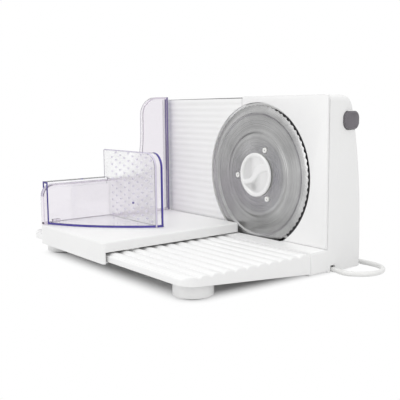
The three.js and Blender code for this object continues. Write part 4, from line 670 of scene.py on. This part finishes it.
def lock_depth(x, z):
    """How far the knob's front is hollowed: a rim, a slanting finger bar and a hollow on each side."""
    along = x * math.cos(lock_tilt) + z * math.sin(lock_tilt)
    sway = bar_sway * math.sin(2 * math.pi * along / bar_wave)
    across = z * math.cos(lock_tilt) - x * math.sin(lock_tilt) - sway
    half = bar_half + bar_gain * soft_step(along, -16, 8)
    within = 1 - soft_step(math.hypot(x, z), hollow_r, hollow_rim_r)
    hollow = soft_step(abs(across), half, half + bar_slope) * within
    rise = upper_rise * soft_step(x, -10, 0) if across > 0 else lower_rise * soft_step(x, -1, 9)
    return lock_deep * hollow * (1 - rise)


def circle(radius, steps):
    angles = [2 * math.pi * i / steps for i in range(steps)]
    return [(radius * math.cos(a), radius * math.sin(a)) for a in angles]


def plain_ring(radius, y):
    return [(x, y, z) for x, z in circle(radius, lock_steps)]


def lock_ring(radius, extra=0.0):
    return [(x, lock_front + extra + lock_depth(x, z), z) for x, z in circle(radius, lock_steps)]


def hollow_shaded_white():
    """White plastic with painted shade: a mark on the mesh darkens it in the hollows."""
    material = grained("knob_white", (0.83, 0.83, 0.825), 0.3, 1800.0, 0.01, 0.0001)
    tree = material.node_tree
    shader = tree.nodes["Principled BSDF"]
    colour = shader.inputs["Base Color"].links[0].from_socket
    mark = add_node(tree, "ShaderNodeAttribute", attribute_name="hollow").outputs["Fac"]
    feed(tree, shader, {"Base Color": scaled(tree, colour, ranged(tree, mark, 0.0, 2.0, 1.0, 0.6))})
    return material


lock_rings = [plain_ring(lock_neck_r, lock_neck_rear), plain_ring(lock_neck_r, lock_rear)]
lock_rings += [plain_ring(lock_r - 0.4, lock_rear), plain_ring(lock_r, lock_rear - 0.3)]
for inset, back in edge_round(lock_edge, (0, 30, 60, 90)):
    lock_rings.append(lock_ring(lock_r - inset, back))
lock_rings += [lock_ring(face_r - (face_r - face_core) * i / face_rings) for i in range(face_rings + 1)]
lock = loft("lock_knob_white", lock_rings, hollow_shaded_white(), sharp=40)
# Each point's mark is painted shade: the depth of its hollow, doubled near the bar's lower end for a painted
# shadow.
hollow_shade_marks = lock.data.attributes.new("hollow", "FLOAT", "POINT")
for mark, vert in zip(hollow_shade_marks.data, lock.data.vertices):
    spot = (vert.co - blade_centre) * 1000
    tip_shadow = 1 - soft_step(math.hypot(spot.x - tip_shadow_x, spot.z - tip_shadow_z), tip_shadow_core, tip_shadow_reach)
    share = lock_depth(spot.x, spot.z) / lock_deep
    mark.value = share * (1 + tip_shadow) if spot.y < lock_rear - 0.1 else 0.0
fit(lock, "lock", "white_plastic", "lock_knob")


# Gauge plate: a ribbed moulding in white ABS left of the blade that the food slides along. Its left end
# curls back, its right end is cut to the blade's curve, and a slide behind it moves it to and fro. A thin
# dark strip along its top edge is painted shade: it stands for the shadow gap there.
gauge_straight, gauge_right, gauge_top, gauge_foot = -165.0, -24.5, 82.0, -63.5
gauge_thick, gauge_slice, curl_r, curl_angle = 3.0, 0.5, 40.0, 40.0
rib_step, rib_deep, rib_flat = 7.0, 0.26, 1.7
strip_front, strip_rear, strip_sunk, strip_short, strip_low, strip_high = 1.6, 2.6, 2.0, 0.5, 0.4, 0.9


def gauge_row(z):
    """One level of the plate: along its front from the right to the curled end and back behind."""
    phase = 2 * math.pi * (gauge_top - z - rib_step / 2) / rib_step
    depth = rib_deep / 2 * (1 - min(max(rib_flat * math.cos(phase), -1), 1))
    right_end = min(gauge_right, -math.sqrt(max(opening_r ** 2 - z ** 2, 0)))
    spots = [right_end + (gauge_straight - right_end) * i / 10 for i in range(11)]
    front = [(x, depth) for x in spots]
    back = [(x, gauge_thick) for x in spots]
    for i in range(1, 13):
        turn = math.radians(-90 - curl_angle * i / 12)
        for side, radius in ((front, curl_r - depth), (back, curl_r - gauge_thick)):
            side.append((gauge_straight + radius * math.cos(turn), curl_r + radius * math.sin(turn)))
    return [(x, y, z) for x, y in front + back[::-1]]


def strip_end(x, rise):
    """One end of the strip of painted shade, let into the plate's top and standing proud of it by a rise."""
    outline = rectangle(strip_front, strip_rear, gauge_top - strip_sunk, gauge_top + rise)
    return [(x, y, z) for y, z in outline]


gauge_levels = int((gauge_top - gauge_foot) / gauge_slice)
gauge_step = (gauge_top - gauge_foot) / gauge_levels
gauge_rows = [gauge_row(gauge_foot + gauge_step * i) for i in range(gauge_levels + 1)]
fit(loft("gauge_face", gauge_rows, white_abs), "gauge", "white_plastic", "gauge_plate")
shade_strip_ends = [strip_end(gauge_straight, strip_low), strip_end(gauge_right - strip_short, strip_high)]
fit(loft("gauge_strip", shade_strip_ends, dark_moulding_and_shade), "gauge", "dark_plastic")


# Thickness knob: a fluted disc of white ABS on the rear of the base, pushed on the shaft of the cam that it
# turns. Dark marks moulded into the housing lie round it, and one longer mark on the knob points at them.
dress("thickness_knob", "thickness_dial", white_abs, "thickness", "white_plastic", 0.8)


def geometry_tree(name, *sockets):
    """A geometry tree that gives one result, and its named inputs."""
    tree = bpy.data.node_groups.new(name, "GeometryNodeTree")
    for socket, kind in sockets:
        tree.interface.new_socket(socket, in_out="INPUT", socket_type="NodeSocket" + kind)
    tree.interface.new_socket("Result", in_out="OUTPUT", socket_type="NodeSocketGeometry")
    return tree, add_node(tree, "NodeGroupInput").outputs


def set_on_points(tree, points, piece, turn, finish):
    """Ends a tree: copies of a piece on points, each turned, made real and given a finish."""
    placed = add_node(tree, "GeometryNodeInstanceOnPoints", {
        "Points": points, "Instance": piece, "Rotation": turn})
    real = add_node(tree, "GeometryNodeRealizeInstances", {"Geometry": placed.outputs[0]})
    finished = add_node(tree, "GeometryNodeSetMaterial", {"Geometry": real.outputs[0], "Material": finish})
    add_node(tree, "NodeGroupOutput", {"Result": finished.outputs[0]})


def grow(name, tree, values, mesh=None):
    """Runs a geometry tree with these inputs and keeps its result as a plain mesh."""
    obj = link_object(name, mesh or bpy.data.meshes.new(name))
    modifier = obj.modifiers.new("grow", "NODES")
    modifier.node_group = tree
    for socket in tree.interface.items_tree:
        if socket.in_out == "INPUT" and socket.name in values:
            modifier[socket.identifier] = values[socket.name]
    carry_out(obj, modifier)
    return obj


def placing_tree():
    """Sets one small piece at every point of a mesh, turned by the point's own angles."""
    tree, given = geometry_tree(
        "placed_pieces", ("Points", "Geometry"), ("Piece", "Object"), ("Finish", "Material"))
    piece = add_node(tree, "GeometryNodeObjectInfo", {"Object": given["Piece"]}).outputs["Geometry"]
    angles = add_node(tree, "GeometryNodeInputNamedAttribute", {"Name": "turn"}, data_type="FLOAT_VECTOR")
    turn = add_node(tree, "FunctionNodeEulerToRotation", {"Euler": angles.outputs[0]}).outputs[0]
    set_on_points(tree, given["Points"], piece, turn, given["Finish"])
    return tree


placed_pieces = placing_tree()


def set_pieces(name, piece, places, finish):
    """Copies of a small piece, one for each place in millimetres with its turn in degrees."""
    mesh = bpy.data.meshes.new(name)
    mesh.from_pydata([at(*place) for place, _ in places], [], [])
    turn = mesh.attributes.new("turn", "FLOAT_VECTOR", "POINT")
    for i, (_, angles) in enumerate(places):
        turn.data[i].vector = [math.radians(angle) for angle in angles]
    made = grow(name, placed_pieces, {"Piece": piece, "Finish": finish}, mesh)
    smooth(made.data, 35)
    bpy.data.objects.remove(piece)
    return made


def to_origin(piece):
    """Moves a small piece from the blade's centre to the frame's origin, for copying."""
    piece.data.transform(Matrix.Translation(-blade_centre))
    return piece


dial_x, dial_z, housing_rear, dial_rear = -106.0, -30.0, 54.0, 62.0
mark_r, mark_long, mark_half, mark_count, mark_first, mark_step = 25.0, 3.0, 0.45, 9, -70, 20
pointer_r, pointer_long, pointer_turn = 11.0, 7.0, 10
bar_slices = (0.0, -0.2), (0.0, 0.1), (0.15, 0.3)


def dial_bar(name, length):
    """A small mark with sloping sides that runs along X and is raised along Y."""
    rings = []
    for inset, y in bar_slices:
        outline = rectangle(inset, length - inset, inset - mark_half, mark_half - inset)
        rings.append([(x, y, z) for x, z in outline])
    return to_origin(loft(name, rings, dark_moulding_and_shade))


def dial_place(radius, y, angle):
    """A place round the knob's axis, and the turn of a mark there that points at the axis."""
    turn = math.radians(angle)
    return (dial_x + radius * math.cos(turn), y, dial_z + radius * math.sin(turn)), (0, -angle, 0)


mark_places = [dial_place(mark_r, housing_rear, mark_first + mark_step * i) for i in range(mark_count)]
dial_marks = set_pieces("dial_marks", dial_bar("dial_mark", mark_long), mark_places, dark_moulding_and_shade)
fit(dial_marks, "base", "dark_plastic")
pointer_place = dial_place(pointer_r, dial_rear, pointer_turn)
pointer = set_pieces("dial_pointer", dial_bar("pointer_bar", pointer_long), [pointer_place], dark_moulding_and_shade)
fit(pointer, "thickness", "dark_plastic")


# Carriage: a table moulded in white ABS that slides along the tray, hooked round its front edge. The
# food and the clear pusher lie on it.
dress("carriage_table", "table_moulding", white_abs, "carriage", "white_plastic")


# End guard: a moulding in clear lilac styrene, screwed to the carriage's left edge, tall beside the blade
# and low in front, with a raised rim. Its narrow edges gather the tint of the sheet and show violet.
def clear_styrene(name, tint_colour, density, haze):
    """A clear plastic: its tint, the depth of it and the middle and half width along Y of a frosted part."""
    material, tree, shader = new_material(name)
    place = object_place(tree)
    along = add_node(tree, "ShaderNodeSeparateXYZ", {0: place}).outputs["Y"]
    frosted = sum_of(tree, "COMPARE", along, *haze)
    matt = ranged(tree, noise(tree, place, 60.0, 2.0), 0.3, 0.7, 0.14, 0.24)
    rough = add_node(tree, "ShaderNodeMix", {"Factor": frosted, "A": 0.02, "B": matt})
    feed(tree, shader, {
        "Base Color": pure_white, "Transmission Weight": 1.0, "IOR": 1.49, "Roughness": rough.outputs[0]})
    path = add_node(tree, "ShaderNodeLightPath").outputs
    faint = sum_of(tree, "MAXIMUM", path["Is Shadow Ray"], path["Is Diffuse Ray"])
    through = add_node(tree, "ShaderNodeBsdfTransparent", {"Color": (0.975, 0.97, 0.98, 1)})
    tint = add_node(tree, "ShaderNodeVolumeAbsorption", {"Color": (*tint_colour, 1), "Density": density})
    feed(tree, tree.nodes["Material Output"], {
        "Surface": blend(tree, faint, shader, through), "Volume": tint.outputs[0]})
    return material


no_frost = 1.0, 0.0
lilac_clear = clear_styrene("lilac_clear", (0.21, 0.03, 0.3), 70.0, no_frost)
lilac_back = grained("lilac_back", (0.17, 0.145, 0.36), 0.2, 500.0, 0.3, 0.0002)
lilac_rim = grained("lilac_rim", (0.6, 0.56, 0.69), 0.2, 500.0, 0.15, 0.0002)


def mark_edges(obj, dark, pick):
    """Gives a clear piece its edges: pick says 1 for a dark edge, 2 for a pale one, 0 for a clear face."""
    obj.data.materials.append(dark)
    obj.data.materials.append(lilac_rim)
    for face in obj.data.polygons:
        face.material_index = pick((face.center - blade_centre) * 1000, face.normal)


def bent_line(start, pull, end, steps):
    """Points on a curve from a start to an end, drawn towards a third point."""
    points = []
    for i in range(steps + 1):
        t = i / steps
        first, middle, last = (1 - t) ** 2, 2 * t * (1 - t), t * t
        points.append(tuple(first * a + middle * b + last * c for a, b, c in zip(start, pull, end)))
    return points


def prism(name, outline, span, axis, material):
    """An outline drawn in the two other directions and run along X, Y or Z over a span."""
    turn = {"X": lambda a, b, c: (c, a, b), "Y": lambda a, b, c: (a, c, b), "Z": lambda a, b, c: (a, b, c)}
    return loft(name, [[turn[axis](a, b, c) for a, b in outline] for c in span], material)


guard_inner, guard_outer, guard_sheet, guard_rim = -157.5, -164.0, 2.5, 2.0
guard_edge, guard_bend, guard_fillet = 0.5, 0.15, 0.3
guard_rear, guard_front, guard_foot, guard_top, guard_low = -4.0, -176.0, -55.2, 85.5, -10.0
shield_wide, shield_round, flare_top, flare_y, nose_r = 38.0, 22.0, 45.0, -64.0, 14.0
guard_screws, boss_half, boss_high = (-30.0, -160.0), 4.5, 4.5
boss_lift, boss_left, boss_right = 0.4, 0.5, 1.5


def guard_ring(inset, x):
    """The guard's outline: up the rear, over the tall shield, down its flare and along to the nose."""
    shield_front = guard_rear - shield_wide + inset
    top, low_top = guard_top - inset, guard_low - inset
    round_r, nose = shield_round - inset, nose_r - inset
    ring = [(guard_rear - inset, guard_foot + inset), (guard_rear - inset, top)]
    ring += arc(shield_front + round_r, top - round_r, round_r, 90, 180, 14)
    ring += bent_line((shield_front, flare_top), (shield_front - 1, low_top), (flare_y, low_top), 20)
    ring += arc(guard_front + inset + nose, low_top - nose, nose, 90, 180, 14)
    ring.append((guard_front + inset, guard_foot + inset))
    return [(x, y, z) for y, z in ring]


def guard_edges(place, way):
    """Dark on the shield's rear edge, pale round the nose and clear elsewhere."""
    on_nose = place.y < guard_front + nose_r and place.z > guard_low - nose_r and abs(way.x) < 0.3
    if way.y > 0.7 and place.y > guard_rear - 1:
        return 1
    return 2 if on_nose else 0


def guard_body():
    """The sheet, the rim that stands out from it to the left, and the two screw bosses at its foot."""
    edge, bend = guard_edge, guard_bend
    near = [(edge, guard_inner), (bend, guard_inner - bend), (0, guard_inner - edge)]
    rim = [(0, guard_outer + edge), (bend, guard_outer + bend), (edge, guard_outer)]
    rim += [(guard_rim - edge, guard_outer), (guard_rim - bend, guard_outer + bend)]
    rim += [(guard_rim, guard_outer + edge)]
    sheet_left = guard_inner - guard_sheet
    floor = [(guard_rim, sheet_left - guard_fillet), (guard_rim + guard_fillet, sheet_left)]
    body = loft("guard_clear", [guard_ring(inset, x) for inset, x in near + rim + floor], lilac_clear)
    mark_edges(body, lilac_back, guard_edges)
    boss_span = guard_outer + boss_left, guard_inner - boss_right
    for y in guard_screws:
        outline = rectangle(y - boss_half, y + boss_half, guard_foot + boss_lift, guard_foot + boss_high)
        join_solids(body, prism("guard_boss", outline, boss_span, "X", lilac_clear), "UNION")
    smooth(body.data)
    for face in body.data.polygons:
        face.use_smooth = abs(face.normal.x) < 0.99
    return body


fit(guard_body(), "carriage", "clear_plastic", "end_guard")


# Food pusher: the same clear lilac plastic, one moulding that hooks over the guard's low edge, with a
# frosted and spiked plate that holds the food and a floor with a bowed front edge.
wall_left, wall_right, hook_left, hook_top, hook_foot = -157.2, -155.2, -166.3, -7.7, -16.2
pusher_front, plate_front, plate_rear, flange_rear = -172.0, -93.0, -91.0, -83.0
plate_right, plate_top, plate_foot, plate_corner, plate_bend = -58.0, 25.0, -55.2, 16.0, 1.8
pusher_wall, flange_lip, front_lip, floor_thick = 2.0, 2.2, 1.0, 2.6
hook_short, flange_sunk, floor_proud, bow_pull = 0.2, 0.1, 0.15, (-99.6, -152.0)
plate_middle = at(0, (plate_front + plate_rear) / 2, 0).y
lilac_edge = grained("lilac_edge", (0.075, 0.055, 0.34), 0.2, 500.0, 0.3, 0.0002)
lilac_frost = clear_styrene("lilac_frost", (0.15, 0.08, 0.5), 5.0, (plate_middle, 0.0012))


def plate_ring(inset, y):
    """The plate's outline, drawn in at its top and right by an inset."""
    right, top, radius = plate_right - inset, plate_top - inset, plate_corner - inset
    ring = [(wall_left, plate_foot), (right, plate_foot)]
    ring += arc(right - radius, top - radius, radius, 0, 90, 16)
    ring += [(hook_left, top), (hook_left, hook_top - pusher_wall), (wall_left, hook_top - pusher_wall)]
    return [(x, y, z) for x, z in ring]


def pusher_hook():
    """The low wall and the hook on its top."""
    room_left, room_top = hook_left + pusher_wall, hook_top - pusher_wall
    outline = [
        (wall_right, plate_foot), (wall_right, hook_top), (hook_left, hook_top), (hook_left, hook_foot),
        (room_left, hook_foot), (room_left, room_top), (wall_left, room_top), (wall_left, plate_foot)]
    span = pusher_front, pusher_front + front_lip, plate_rear - hook_short
    return prism("pusher_clear", outline, span, "Y", lilac_frost)


def pusher_plate():
    """The upright plate, bent round at its front edge."""
    bends = edge_round(plate_bend, (0, 30, 60, 90))
    rings = [plate_ring(inset, plate_front + depth) for depth, inset in bends]
    rings.append(plate_ring(0, plate_rear))
    return loft("plate", rings, lilac_frost)


def pusher_flange():
    """A strip that follows the plate's right edge and its rounded corner."""
    centre = plate_right - plate_corner, plate_top - plate_corner
    rounded = arc(*centre, plate_corner, 0, 90, 16)
    inner = arc(*centre, plate_corner - pusher_wall, 90, 0, 16)
    strip = [(plate_right, plate_foot), *rounded, *inner, (plate_right - pusher_wall, plate_foot)]
    span = plate_rear - flange_sunk, flange_rear - flange_lip, flange_rear
    return prism("flange", strip, span, "Y", lilac_frost)


def pusher_floor():
    """The floor with its bowed front edge, which runs on under the flange."""
    floor_right, flange_inner = plate_right + floor_proud, plate_right - pusher_wall
    outline = bent_line((wall_left, pusher_front), bow_pull, (floor_right, plate_rear), 32)
    outline += [(floor_right, flange_rear), (flange_inner, flange_rear), (flange_inner, plate_rear)]
    outline.append((wall_left, plate_rear))
    return prism("floor", outline, (plate_foot, plate_foot + floor_thick), "Z", lilac_frost)


def pusher_edges(place, way):
    """Dark at the front, on the flange and along the bow, pale round the plate and clear elsewhere."""
    on_front = place.y < pusher_front + front_lip and place.z > plate_foot + floor_thick
    on_flange = place.y > flange_rear - flange_lip
    on_bow = abs(way.z) < 0.3 and place.z < plate_foot + floor_thick and (way.x > 0.05 or way.y < -0.3)
    if on_front or on_flange or on_bow:
        return 1
    on_side = plate_front < place.y < plate_rear and abs(way.y) < 0.95
    return 2 if on_side and (place.z > hook_top or place.x > plate_right - 2) else 0


pusher = pusher_hook()
for part in (pusher_plate, pusher_flange, pusher_floor):
    join_solids(pusher, part(), "UNION")
finish_mesh(pusher.data, lilac_frost)
mark_edges(pusher, lilac_edge, pusher_edges)
soften(pusher, 0.35)
fit(pusher, "pusher", "clear_plastic", "food_pusher", "pusher_plate")


def spike_tree():
    """Columns of cones that point to the rear, each a third of a step below the last, in metres."""
    tree, given = geometry_tree(
        "spike_rows", ("Columns", "Int"), ("Rows", "Int"), ("Column Pitch", "Float"),
        ("Row Pitch", "Float"), ("First", "Vector"), ("Radius", "Float"), ("Length", "Float"),
        ("Finish", "Material"))
    count = sum_of(tree, "MULTIPLY", given["Columns"], given["Rows"])
    index = add_node(tree, "GeometryNodeInputIndex").outputs[0]
    row = sum_of(tree, "FLOOR", sum_of(tree, "DIVIDE", index, given["Columns"]))
    column = sum_of(tree, "MODULO", index, given["Columns"])
    across = sum_of(tree, "MULTIPLY", column, given["Column Pitch"])
    step = sum_of(tree, "MODULO", sum_of(tree, "ADD", column, 2.0), 3.0)
    level = sum_of(tree, "ADD", row, sum_of(tree, "DIVIDE", step, 3.0))
    down = sum_of(tree, "MULTIPLY", level, sum_of(tree, "MULTIPLY", given["Row Pitch"], -1.0))
    offset = add_node(tree, "ShaderNodeCombineXYZ", {"X": across, "Z": down}).outputs[0]
    place = vector_sum(tree, "ADD", given["First"], offset)
    points = add_node(tree, "GeometryNodePoints", {"Count": count, "Position": place}).outputs[0]
    spike = add_node(tree, "GeometryNodeMeshCone", {
        "Vertices": 10, "Radius Top": 0.00015, "Radius Bottom": given["Radius"], "Depth": given["Length"]})
    rearward = add_node(tree, "FunctionNodeEulerToRotation", {"Euler": (-math.pi / 2, 0, 0)})
    set_on_points(tree, points, spike.outputs[0], rearward.outputs[0], given["Finish"])
    return tree


lilac_point = grained("lilac_point", (0.8, 0.77, 0.87), 0.35, 700.0, 0.08, 0.0002)
spikes = grow("pusher_spikes", spike_tree(), {
    "Columns": 10, "Rows": 9, "Column Pitch": 0.0089, "Row Pitch": 0.0083,
    "First": at(-148.9, plate_rear - 0.05, 21.8), "Radius": 0.0014, "Length": 0.0022, "Finish": lilac_point})
fit(spikes, "pusher", "clear_plastic")


def turned_rings(profile, steps):
    """Rings about Z, from radius and height pairs in millimetres."""
    return [[(x, y, z) for x, y in circle(radius, steps)] for radius, z in profile]


gate_profile = (1.3, -0.1), (1.3, 0.5), (0.9, 0.9), (0.3, 1.0)
gate_stub = to_origin(loft("gate_stub", turned_rings(gate_profile, 14), lilac_edge))
gate_places = [((-105.0, plate_rear, -33.0), (-90, 0, 0)), ((-156.2, -128.0, hook_top), (0, 0, 0))]
gate_marks = set_pieces("gate_marks", gate_stub, gate_places, lilac_edge)
fit(gate_marks, "pusher", "clear_plastic")


# Switch: a soft dark grey button, moulded with a fine leathery grain, that wraps the rear corner of the
# tower and presses on the switch inside.
soft_grey = grained("soft_grey", (0.17, 0.158, 0.175), 0.6, 620.0, 0.3, 0.0012)
button_near, button_far, button_foot, button_top, button_corner = 22.0, 46.0, 50.0, 68.0, 7.0
button_root, button_face, button_dome, button_wrap, wrap_start = 86.0, 101.0, 3.0, 2.8, 33.0


def rounded_box(left, right, foot, top, corner, steps):
    """A rectangle with round corners, from the end of its right side round to the start of it."""
    points = arc(right - corner, top - corner, corner, 0, 90, steps)
    points += arc(left + corner, top - corner, corner, 90, 180, steps)
    points += arc(left + corner, foot + corner, corner, 180, 270, steps)
    points += arc(right - corner, foot + corner, corner, 270, 360, steps)
    return points


def button_ring(x, inset, wrap):
    """The button's outline at a depth, drawn in by an inset and laid back round the tower's corner."""
    outline = rounded_box(
        button_near + inset, button_far - inset, button_foot + inset, button_top - inset,
        button_corner - inset, 10)
    return [(x - wrap * soft_step(y, wrap_start, button_far), y, z) for y, z in outline]


button_rings = [button_ring(button_root, 0, 0), button_ring(button_face, 0, button_wrap)]
for angle in range(0, 96, 12):
    swell = math.radians(angle)
    inset, rise = button_dome * (1 - math.cos(swell)), button_dome * math.sin(swell)
    button_rings.append(button_ring(button_face + rise, inset, button_wrap))
fit(loft("switch_cap", button_rings, soft_grey), "switch", "dark_plastic", "switch_button")


# Power cord: a round white PVC lead that leaves the base through a notch at the right, bends round to the
# rear and is wound up there for storage. A ribbed sleeve guards it where it leaves.
cord_r, cord_floor, cord_y, bend_x, bend_r = 2.5, -88.7, 10.0, 108.0, 26.0
run_y = cord_y + 2 * bend_r
coil_x, coil_outer, coil_pitch, coil_turns, coil_steps = -75.0, 38.5, 5.6, 6.5, 24
coil_y, coil_lift, layer_start, layer_end = run_y + coil_outer, 1.0, 3.0, 3.5
run_gap, cord_tail, plug_shift = 0.3, 31.0, 0.4
sleeve_start, sleeve_end, sleeve_lift, sleeve_end_r = 75.2, 97.2, 1.1, 2.6
sleeve_collar_r, sleeve_collar_long, sleeve_edge = 3.6, 4.0, 0.4
sleeve_rings, sleeve_ring_r, sleeve_taper = 9, 3.5, 0.08
sleeve_first, sleeve_pitch, sleeve_groove = 4.4, 1.9, 0.5
cord_route = [(97.5, cord_y, sleeve_lift), (104, cord_y, sleeve_lift), (bend_x, cord_y, sleeve_lift / 2)]
cord_route += [(x, y, 0) for x, y in arc(bend_x, cord_y + bend_r, bend_r, -90, 90, 10)[1:]]
run_end = coil_x + 2 * cord_r + run_gap
for i in range(1, 9):
    cord_route.append((bend_x + (run_end - bend_x) * i / 8, run_y, coil_lift * soft_step(i / 8, 0, 1)))


def coil_point(turn):
    """Inwards for three turns, up one layer, then outwards again on top."""
    angle = -math.pi / 2 - 2 * math.pi * turn
    radius = coil_outer - coil_pitch * min(turn, coil_turns - turn)
    lift = coil_lift + coil_pitch * soft_step(turn, layer_start, layer_end)
    return (coil_x + radius * math.cos(angle), coil_y + radius * math.sin(angle), lift)


cord_route += [coil_point(i / coil_steps) for i in range(int(coil_turns * coil_steps) + 1)]
coil_end_x, coil_end_y, coil_end_lift = cord_route[-1]
plug_y = coil_end_y + plug_shift
cord_route += [(coil_end_x + lead, plug_y, coil_end_lift) for lead in (cord_tail / 2, cord_tail)]
cord_places = [at(x, y, cord_floor + lift) for x, y, lift in cord_route]

white_pvc = grained("white_pvc", (0.83, 0.83, 0.82), 0.45, 600.0, 0.04, 0.0003)
cord_line = bpy.data.curves.new("power_cord", "CURVE")
cord_line.dimensions = "3D"
cord_line.bevel_depth = cord_r / 1000
cord_line.bevel_resolution = 5
cord_line.use_fill_caps = True
cord_line.resolution_u = 4
run = cord_line.splines.new("BEZIER")
run.bezier_points.add(len(cord_places) - 1)
for bend, place in zip(run.bezier_points, cord_places):
    bend.co = place
    bend.handle_left_type = "AUTO"
    bend.handle_right_type = "AUTO"
cord_line.materials.append(white_pvc)
power_cord = link_object("power_cord", cord_line)
fit(power_cord, "base", "white_cord", "cord", "cord_coil")


def turned_along(name, stations, y, z, finish):
    """A turned shape about a line along X, from radius and x pairs."""
    rings = [[(x, y + a, z + b) for a, b in circle(radius, 24)] for radius, x in stations]
    return loft(name, rings, finish)


sleeve_stations = [(sleeve_collar_r - sleeve_edge, sleeve_start)]
sleeve_stations += [(sleeve_collar_r, sleeve_start + along) for along in (sleeve_edge, sleeve_collar_long)]
for i in range(sleeve_rings):
    x = sleeve_start + sleeve_first + sleeve_pitch * i
    full = sleeve_ring_r - sleeve_taper * i
    thin = full - sleeve_groove
    sleeve_stations += [(thin, x), (full, x + 0.4), (full, x + 1.1), (thin, x + 1.5)]
sleeve_stations += [(sleeve_end_r + 0.15, sleeve_end - 0.3), (sleeve_end_r, sleeve_end)]
sleeve = turned_along("strain_relief", sleeve_stations, cord_y, cord_floor + sleeve_lift, white_pvc)
fit(sleeve, "base", "white_cord", "cord_sleeve")


# Plug: a soft white PVC grip moulded on the cord's end, flat enough to pull and ringed at its neck. Two
# round plated pins stand in its face.
plug_gap, plug_long, plug_square = 0.3, 34.0, 0.65
plug_neck, plug_z = coil_end_x + cord_tail + plug_gap, cord_floor + coil_end_lift
pin_r, pin_long, pin_half, pin_gap = 2.0, 18.0, 9.3, 0.3
plug_stations = [(0.0, 3.9, 3.9), (0.5, 4.4, 4.4)]
for i in range(4):
    x = 1.0 + 1.8 * i
    plug_stations += [(x, 4.5, 4.5), (x + 0.7, 4.5, 4.5), (x + 0.9, 3.9, 3.9), (x + 1.6, 3.9, 3.9)]
plug_stations += [(8.4, 5.0, 4.9), (10.5, 7.2, 6.0), (13.0, 10.4, 7.5), (15.5, 12.3, 8.6), (18.5, 13.0, 9.1)]
plug_stations += [(30.0, 13.0, 9.1), (32.8, 12.7, 8.8), (33.7, 12.0, 8.1), (plug_long, 11.0, 7.2)]


def plug_ring(x, wide, high):
    """A squarish oval across the plug."""
    def squared(value):
        return math.copysign(abs(value) ** plug_square, value)

    return [(plug_neck + x, plug_y + wide * squared(c), plug_z + high * squared(s)) for c, s in circle(1, 40)]


plug_grip = loft("plug_grip", [plug_ring(*station) for station in plug_stations], white_pvc, sharp=40)
fit(plug_grip, "base", "white_cord", "plug")
pin_foot = plug_neck + plug_long + pin_gap
pin_profile = (pin_r - 0.1, 0.0), (pin_r, 0.2), (pin_r, pin_long - 1.8), (pin_r - 0.15, pin_long - 1.0)
pin_profile += (pin_r - 0.6, pin_long - 0.3), (pin_r - 1.3, pin_long)
pin_stations = [(radius, pin_foot + along) for radius, along in pin_profile]
for i, side in enumerate((-1, 1)):
    pin = turned_along(f"plug_prong_{i + 1}", pin_stations, plug_y + side * pin_half, plug_z, zinc_plate)
    fit(pin, "base", "zinc_steel", f"plug_pin_{i + 1}")


# Cord tie: a dark strap of soft plastic, moulded flat. It goes once round the coil's turns, is held shut on
# itself and keeps the wound cord together.
strap_left, strap_right, strap_foot, strap_top = -117.3, -91.5, -91.2, -78.3
strap_corner, strap_thick, strap_half, strap_steps = 4.0, 0.8, 4.0, 8
strap_path = rounded_box(strap_left, strap_right, strap_foot, strap_top, strap_corner, strap_steps)


def strap_cut(index):
    """One cut across the strap, at a point on its way round a box with round corners."""
    x, z = strap_path[index]
    corner, step = divmod(index, strap_steps + 1)
    turn = math.radians(90 * corner + 90 * step / strap_steps)
    inner_x, inner_z = x - strap_thick * math.cos(turn), z - strap_thick * math.sin(turn)
    near, far = coil_y - strap_half, coil_y + strap_half
    return [(x, near, z), (x, far, z), (inner_x, far, inner_z), (inner_x, near, inner_z)]


strap = loft("tie_strap", [strap_cut(i) for i in range(len(strap_path))], dark_moulding_and_shade, wrapped=True)
fit(strap, "base", "dark_plastic", "cord_tie")


# Screws: zinc-plated pan heads with a cross recess under the base and behind the tray, and two of white
# nylon that hold the clear guard.
thread_step = 1.25
cover_screw_places = (-140, -8), (50, -8), (-115, 46), (24, 46)
tray_screw_places = -120, 40
cover_screw_level, tray_screw_y, tray_screw_level = -85.1, -17.4, -77.1
guard_screw_x, guard_screw_level = -160.75, -60.1


def cross_screw(name, threads, finish):
    """A screw with its head at the origin and its tip upwards."""
    profile = [(0.4, 0), (2.0, 0), (2.5, 0.3), (2.8, 0.9), (2.8, 1.8), (1.3, 1.8)]
    for i in range(threads):
        profile += [(1.6, 2.4 + thread_step * i), (1.3, 3.0 + thread_step * i)]
    tip = 3.0 + thread_step * threads
    profile += [(0.8, tip - 0.3), (0.2, tip + 0.3)]
    screw = loft(name, turned_rings(profile, 20), finish)
    for wide, long in ((0.45, 1.7), (1.7, 0.45)):
        recess = prism("recess", rectangle(-wide, wide, -long, long), (-0.5, 1.1), "Z", finish)
        join_solids(screw, recess, "DIFFERENCE")
    return to_origin(screw)


base_places = [((x, y, cover_screw_level), (0, 0, 0)) for x, y in cover_screw_places]
base_places += [((x, tray_screw_y, tray_screw_level), (90, 0, 0)) for x in tray_screw_places]
base_screws = set_pieces("base_screws", cross_screw("zinc_screw", 6, zinc_plate), base_places, zinc_plate)
base_nodes = [f"cover_screw_{i}" for i in (1, 2, 3, 4)] + ["tray_screw_1", "tray_screw_2"]
fit(base_screws, "base", "zinc_steel", *base_nodes)
guard_places = [((guard_screw_x, y, guard_screw_level), (0, 0, 0)) for y in guard_screws]
guard_fixings = set_pieces(
    "guard_fixings", cross_screw("nylon_screw", 4, white_nylon), guard_places, white_nylon)
fit(guard_fixings, "carriage", "nylon", "guard_screw_1", "guard_screw_2")
